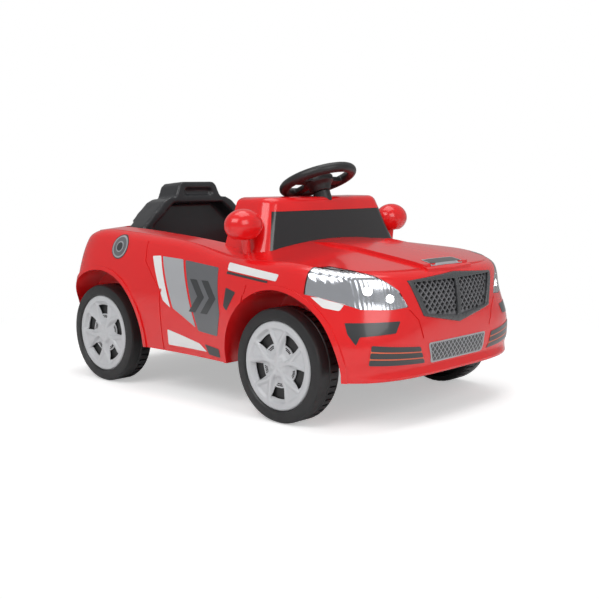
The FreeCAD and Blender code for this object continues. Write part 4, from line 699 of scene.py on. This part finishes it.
    def bonnet(self, skin, paints):
        above = Projector(skin, (1, 0, 0), (0, 1, 0), (0, 0, -1))
        plate = above.drawn("badge_plate", [rounded(self.BADGE, 5)])
        self.lay(plate, paints["light"])
        middle, (short, narrow) = self.BADGE_MIDDLE, self.BADGE_INSET
        field = [(middle + (x - middle) * short, y * narrow) for x, y in self.BADGE]
        plate = above.drawn("badge_field", [rounded(field, 4)], 1)
        self.lay(plate, paints["dark"])

    def execute(self, context):
        shades = colours()
        # The white and dark vinyls also paint the front fenders' highlight and crease shade.
        paints = {
            "white": vinyl("white", shades.sticker_and_highlight_white),
            "light": vinyl("light grey", shades.sticker_light),
            "mid": vinyl("middle grey", shades.sticker_mid),
            "dark": vinyl("dark", shades.sticker_and_shade_dark),
            "orange": vinyl("orange", shades.sticker_orange),
        }
        work = bmesh.new()
        work.from_mesh(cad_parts["body_shell"].data)
        skin = BVHTree.FromBMesh(work)
        work.free()
        for side in (-1, 1):
            self.flank(skin, side, paints)
            self.cheek(skin, side, paints)
        self.nose(skin, paints)
        self.bonnet(skin, paints)
        return {"FINISHED"}


class RIDEON_OT_lamps(bpy.types.Operator):
    """Dress the headlights and the tail lamps"""

    bl_idname = "ride_on.lamps"
    bl_label = "Lamps"

    def execute(self, context):
        for side in ("right", "left"):
            for name, finish, slot in (("headlight_lens_", clear_lens(), "lamp_lens"),
                                       ("headlight_reflector_", chrome_bowl(), "lamp_chrome"),
                                       ("tail_lamp_", tail_red(), "tail_lens")):
                piece = even_shading(merged_copy("dressed_" + name + side, name + side))
                dress(piece, finish, "chassis", slot, name + side)
        repaint(lit_bulb(), "headlight_bulbs")
        return {"FINISHED"}


class RIDEON_OT_grille(bpy.types.Operator):
    """Dress the grille frame and its net"""

    bl_idname = "ride_on.grille"
    bl_label = "Grille"

    def execute(self, context):
        rim = softened(merged_copy("dressed_grille_frame", "grille_frame"), 1.4 * MM, 10)
        dress(rim, grille_grey(), "chassis", "grille_dark", "grille_frame")
        repaint(net_grey(), "grille_mesh")
        return {"FINISHED"}


class RIDEON_OT_seat(bpy.types.Operator):
    """Dress the moulded seat"""

    bl_idname = "ride_on.seat"
    bl_label = "Seat"

    def execute(self, context):
        seat = softened(merged_copy("dressed_seat", "seat"), 3.5 * MM, 6)
        dress(seat, seat_black(), "chassis", "seat_black", "seat")
        return {"FINISHED"}


class RIDEON_OT_steering(bpy.types.Operator):
    """Dress the steering wheel, its column and its buttons"""

    bl_idname = "ride_on.steering"
    bl_label = "Steering"

    def execute(self, context):
        wheel = softened(merged_copy("dressed_steering_wheel", "steering_wheel"), 1.6 * MM, 4)
        dress(wheel, dark_plastic(), "steering", "black_plastic", "steering_wheel")
        repaint(zinc_steel(), "steering_column")
        repaint(button_red(), "horn_button", "music_button")
        return {"FINISHED"}


CapPlace = namedtuple("CapPlace", "centre radius side first")


class RIDEON_OT_wheels(bpy.types.Operator):
    """Dress the tyres and mould the five-spoke wheel caps"""

    bl_idname = "ride_on.wheels"
    bl_label = "Wheels"

    CORNERS = ("front_right", "front_left", "rear_right", "rear_left")
    WINDOWS = 5
    SECTOR = 360 / WINDOWS
    WINDOW = (0.50, 0.75, 16.5)
    STEP = 1.5
    BANDS = ((0.02, 0.48, 20), (0.50, 0.25, 12), (0.75, 0.25, 18))
    SKIRT = (-9.0, -13.5)
    DOTS = ((0.455, (-10, -5, 0, 5, 10)), (0.415, (-7.5, -2.5, 2.5, 7.5)))
    DOT_LIFT = 0.35

    def cap_height(self, ring, turn):
        """Height of the cap over the tyre's face, in mm.

        ring is the share of the radius, and turn the angle from the middle of a window.
        """
        split = math.radians(self.SECTOR / 2 - 16 * smooth(0.22, 0.80, ring))
        off = (abs(math.radians(turn)) - split) * ring
        arm = math.exp(-(off / 0.058) ** 4)
        floor = -9.2 + 3.2 * smooth(-0.04, 0.03, off)
        floor -= 2.6 * math.exp(-((ring - 0.42) / 0.07) ** 2 - (math.radians(turn) * ring / 0.10) ** 2)
        floor += (-3.4 - floor) * smooth(0.32, 0.20, ring)
        height = floor + (-2.2 - floor) * arm
        height -= 0.9 * math.exp(-((ring - 0.15) / 0.012) ** 2)
        lip = -1.4 - 3.0 * max(0.0, (ring - 0.955) / 0.045) ** 2
        return height + (lip - height) * smooth(0.79, 0.86, ring)

    def cap_place(self, corner):
        """Centre, radius, outward side and first window's angle of a corner's cap."""
        low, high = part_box("hub_cap_" + corner)
        face_low, face_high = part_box("tyre_" + corner)
        side = -1 if "right" in corner else 1
        centre = (low + high) / 2
        centre.y = face_low.y if side < 0 else face_high.y
        first = -90 if "front" in corner else 90
        return CapPlace(centre, (high.x - low.x) / 2, side, first)

    def from_window(self, angle):
        """Angle from the middle of the nearest window."""
        return (angle + self.SECTOR / 2) % self.SECTOR - self.SECTOR / 2

    def spot(self, place, ring, angle, height):
        turn = math.radians(angle + place.first)
        reach = place.radius * ring
        outward = place.side * height * MM
        return place.centre + Vector((reach * math.cos(turn), outward, reach * math.sin(turn)))

    def cap(self, corner):
        place = self.cap_place(corner)
        rings = [start + span * i / steps for start, span, steps in self.BANDS for i in range(steps)]
        rings.append(1.0)
        count = round(360 / self.STEP)
        rows = []
        work = bmesh.new()
        for ring in rings:
            row = []
            for column in range(count):
                angle = column * self.STEP
                height = self.cap_height(ring, self.from_window(angle))
                row.append(work.verts.new(self.spot(place, ring, angle, height)))
            rows.append(row)
        for depth in self.SKIRT:
            rows.append([work.verts.new(self.spot(place, 1.0, column * self.STEP, depth))
                         for column in range(count)])
        start, stop, half = self.WINDOW
        for index in range(len(rows) - 1):
            middle = (rings[index] + rings[index + 1]) / 2 if index + 1 < len(rings) else 1.0
            for column in range(count):
                turn = self.from_window((column + 0.5) * self.STEP)
                if start < middle < stop and abs(turn) < half:
                    continue
                after = (column + 1) % count
                work.faces.new((rows[index][column], rows[index][after], rows[index + 1][after],
                                rows[index + 1][column]))
        work.faces.new(rows[0])
        work.normal_update()
        middle = max(work.faces, key=lambda face: len(face.verts))
        bmesh.ops.recalc_face_normals(work, faces=work.faces[:])
        if middle.normal.y * place.side < 0:
            bmesh.ops.reverse_faces(work, faces=work.faces[:])
        for face in work.faces:
            face.smooth = True
        mesh = bpy.data.meshes.new("dressed_cap_" + corner)
        work.to_mesh(mesh)
        work.free()
        piece = add_object("dressed_cap_" + corner, mesh)
        wall = piece.modifiers.new("wall", "SOLIDIFY")
        wall.thickness = 2 * MM
        wall.offset = -1.0
        settle(piece)
        piece.data.set_sharp_from_angle(angle=sizes().skin_crease)
        return dress(piece, cap_silver(), corner + "_wheel", "cap_silver", "hub_cap_" + corner)

    def dots(self, corner):
        """Two rows of near-black discs inward of every window: painted shade for small piercings."""
        place = self.cap_place(corner)
        spots = []
        for window in range(self.WINDOWS):
            for ring, turns in self.DOTS:
                for turn in turns:
                    height = self.cap_height(ring, turn) + self.DOT_LIFT
                    spots.append(self.spot(place, ring, self.SECTOR * window + turn, height))
        # Each disc is painted shade: a near-black stand-in for the dark inside a piercing.
        work = bmesh.new()
        bmesh.ops.create_cone(work, cap_ends=True, segments=12, radius1=1.35 * MM, radius2=1.2 * MM,
                              depth=0.9 * MM)
        bmesh.ops.rotate(work, verts=work.verts[:], cent=(0, 0, 0),
                         matrix=Matrix.Rotation(math.radians(90) * -place.side, 3, "X"))
        cell = bpy.data.meshes.new("piercing")
        work.to_mesh(cell)
        work.free()
        piece = repeated("cap_piercings_" + corner, spots, cell, painted_hole_shade())
        dress(piece, painted_hole_shade(), corner + "_wheel", "tyre_black")

    def execute(self, context):
        for corner in self.CORNERS:
            tyre = even_shading(merged_copy("dressed_tyre_" + corner, "tyre_" + corner))
            dress(tyre, tyre_black(), corner + "_wheel", "tyre_black", "tyre_" + corner)
            self.cap(corner)
            self.dots(corner)
            repaint(nylon_white(), "wheel_bush_" + corner)
        return {"FINISHED"}


class RIDEON_OT_controls(bpy.types.Operator):
    """Dress the dash, its switches, the socket and the pedal"""

    bl_idname = "ride_on.controls"
    bl_label = "Controls"

    def execute(self, context):
        repaint(dark_plastic(), "dash_panel", "charge_socket", "column_bush", "pedal_base", "foot_pedal",
                "control_box", "battery", "chassis_pan")
        repaint(button_red(), "power_switch", "direction_switch")
        return {"FINISHED"}


class RIDEON_OT_running_gear(bpy.types.Operator):
    """Dress the axles, the steering links and the drive"""

    bl_idname = "ride_on.running_gear"
    bl_label = "Running gear"

    def execute(self, context):
        repaint(black_paint(), "column_bracket", "tie_bar", "knuckle_right", "knuckle_left",
                "front_axle_beam", "rear_axle_brackets")
        repaint(zinc_steel(), "kingpins", "rear_axle", "front_axle_nut_right", "front_axle_nut_left",
                "rear_axle_nuts", "motor", "motor_pinion")
        repaint(nylon_white(), "idler_gear", "output_gear")
        repaint(case_grey(), "gearbox_inner_case", "gearbox_outer_case")
        return {"FINISHED"}


class RIDEON_OT_stage(bpy.types.Operator):
    """Set the floor, the lights and the camera"""

    bl_idname = "ride_on.stage"
    bl_label = "Stage"

    FLOOR_REACH = 9.0
    FLOOR_GLOW = 0.42
    FLOOR_FADE = (0.55, 1.3)
    SOFT_LIGHT = 0.32
    SHEEN_LIGHT = 0.4
    LAMPS = (
        ("key", (0.6, -2.4, 2.6), (0, 0, 0.2), (2.4, 1.6), 45),
        ("front", (3.0, -0.4, 1.7), (0.2, 0, 0.25), (1.6, 1.6), 24),
        ("top", (0, 0.4, 3.2), (0, 0, 0), (2.6, 2.0), 34),
    )
    LENS = 56.84
    SENSOR = 36
    CAMERA_PLACE = (1.5048, -1.5510, 0.4736)
    CAMERA_TURN = (math.radians(43.25), math.radians(7.48))

    def floor(self):
        mesh = bpy.data.meshes.new("floor")
        reach = self.FLOOR_REACH
        mesh.from_pydata([(-reach, -reach, 0), (reach, -reach, 0), (reach, reach, 0), (-reach, reach, 0)], [],
                         [(0, 1, 2, 3)])
        floor = add_object("floor", mesh)
        finish, nodes, links, shader = plain_shader("studio floor")
        socket_of(shader, "Base Color", (0.9, 0.9, 0.9, 1))
        socket_of(shader, "Roughness", 0.9)
        socket_of(shader, "Specular IOR Level", 0.1)
        output = next(n for n in nodes if n.type == "OUTPUT_MATERIAL")
        glow = nodes.new("ShaderNodeEmission")
        glow.inputs["Strength"].default_value = self.FLOOR_GLOW
        plain = nodes.new("ShaderNodeEmission")
        plain.inputs["Strength"].default_value = 1.0
        where = nodes.new("ShaderNodeTexCoord")
        away = nodes.new("ShaderNodeVectorMath")
        away.operation = "LENGTH"
        links.new(where.outputs["Object"], away.inputs[0])
        fade = nodes.new("ShaderNodeMapRange")
        fade.interpolation_type = "SMOOTHSTEP"
        fade.inputs["From Min"].default_value, fade.inputs["From Max"].default_value = self.FLOOR_FADE
        links.new(away.outputs["Value"], fade.inputs["Value"])
        rays = nodes.new("ShaderNodeLightPath")
        total = nodes.new("ShaderNodeAddShader")
        seen = nodes.new("ShaderNodeMixShader")
        pick = nodes.new("ShaderNodeMixShader")
        links.new(rays.outputs["Is Camera Ray"], pick.inputs["Fac"])
        links.new(shader.outputs["BSDF"], pick.inputs[1])
        links.new(shader.outputs["BSDF"], total.inputs[0])
        links.new(glow.outputs["Emission"], total.inputs[1])
        links.new(fade.outputs["Result"], seen.inputs["Fac"])
        links.new(total.outputs["Shader"], seen.inputs[1])
        links.new(plain.outputs["Emission"], seen.inputs[2])
        links.new(seen.outputs["Shader"], pick.inputs[2])
        links.new(pick.outputs["Shader"], output.inputs["Surface"])
        mesh.materials.append(finish)

    def lamp(self, name, place, aim, width, watts):
        light = bpy.data.lights.new(name, "AREA")
        light.shape = "RECTANGLE"
        light.size = width[0]
        light.size_y = width[1]
        light.energy = watts
        holder = bpy.data.objects.new(name, light)
        holder.location = place
        holder.rotation_euler = (Vector(aim) - Vector(place)).to_track_quat("-Z", "Y").to_euler()
        bpy.context.scene.collection.objects.link(holder)

    def world(self):
        world = bpy.data.worlds.new("studio")
        bpy.context.scene.world = world
        world.use_nodes = True
        nodes, links = world.node_tree.nodes, world.node_tree.links
        soft = next(n for n in nodes if n.type == "BACKGROUND")
        soft.inputs["Color"].default_value = (1, 1, 1, 1)
        soft.inputs["Strength"].default_value = self.SOFT_LIGHT
        white = nodes.new("ShaderNodeBackground")
        white.inputs["Color"].default_value = (1, 1, 1, 1)
        white.inputs["Strength"].default_value = 1.0
        rays = nodes.new("ShaderNodeLightPath")
        shiny = nodes.new("ShaderNodeMath")
        shiny.operation = "MAXIMUM"
        links.new(rays.outputs["Is Glossy Ray"], shiny.inputs[0])
        links.new(rays.outputs["Is Transmission Ray"], shiny.inputs[1])
        sheen = nodes.new("ShaderNodeBackground")
        sheen.inputs["Color"].default_value = (1, 1, 1, 1)
        sheen.inputs["Strength"].default_value = self.SHEEN_LIGHT
        bounced = nodes.new("ShaderNodeMixShader")
        links.new(shiny.outputs["Value"], bounced.inputs["Fac"])
        links.new(soft.outputs["Background"], bounced.inputs[1])
        links.new(sheen.outputs["Background"], bounced.inputs[2])
        pick = nodes.new("ShaderNodeMixShader")
        links.new(rays.outputs["Is Camera Ray"], pick.inputs["Fac"])
        links.new(bounced.outputs["Shader"], pick.inputs[1])
        links.new(white.outputs["Background"], pick.inputs[2])
        output = next(n for n in nodes if n.type == "OUTPUT_WORLD")
        links.new(pick.outputs["Shader"], output.inputs["Surface"])

    def camera(self):
        lens = bpy.data.cameras.new("camera")
        lens.lens = self.LENS
        lens.sensor_width = self.SENSOR
        camera = bpy.data.objects.new("camera", lens)
        around, above = self.CAMERA_TURN
        camera.location = self.CAMERA_PLACE
        flat = math.cos(above)
        look = Vector((-math.sin(around) * flat, math.cos(around) * flat, -math.sin(above)))
        camera.rotation_euler = look.to_track_quat("-Z", "Y").to_euler()
        bpy.context.scene.collection.objects.link(camera)
        bpy.context.scene.camera = camera

    def execute(self, context):
        self.floor()
        for lamp in self.LAMPS:
            self.lamp(*lamp)
        self.world()
        self.camera()
        context.scene.view_settings.view_transform = "Standard"
        return {"FINISHED"}


class RIDEON_PT_panel(bpy.types.Panel):
    """Lists the steps that dress the car"""

    bl_idname = "RIDEON_PT_panel"
    bl_label = "Ride-on Car"
    bl_space_type = "VIEW_3D"
    bl_region_type = "UI"
    bl_category = "Ride-on Car"

    def draw(self, context):
        for step in STEPS:
            self.layout.operator(step.bl_idname)


STEPS = (
    RIDEON_OT_bodywork,
    RIDEON_OT_stickers,
    RIDEON_OT_lamps,
    RIDEON_OT_grille,
    RIDEON_OT_seat,
    RIDEON_OT_steering,
    RIDEON_OT_wheels,
    RIDEON_OT_controls,
    RIDEON_OT_running_gear,
    RIDEON_OT_stage,
)
CLASSES = (RideOnColours, RideOnSizes, *STEPS, RIDEON_PT_panel)


def register():
    for part in CLASSES:
        bpy.utils.register_class(part)
    bpy.types.Scene.ride_on_colours = PointerProperty(type=RideOnColours)
    bpy.types.Scene.ride_on_sizes = PointerProperty(type=RideOnSizes)


def unregister():
    del bpy.types.Scene.ride_on_sizes
    del bpy.types.Scene.ride_on_colours
    for part in reversed(CLASSES):
        bpy.utils.unregister_class(part)


def main():
    register()
    for step in STEPS:
        group, name = step.bl_idname.split(".")
        getattr(getattr(bpy.ops, group), name)()


if __name__ == "__main__":
    main()
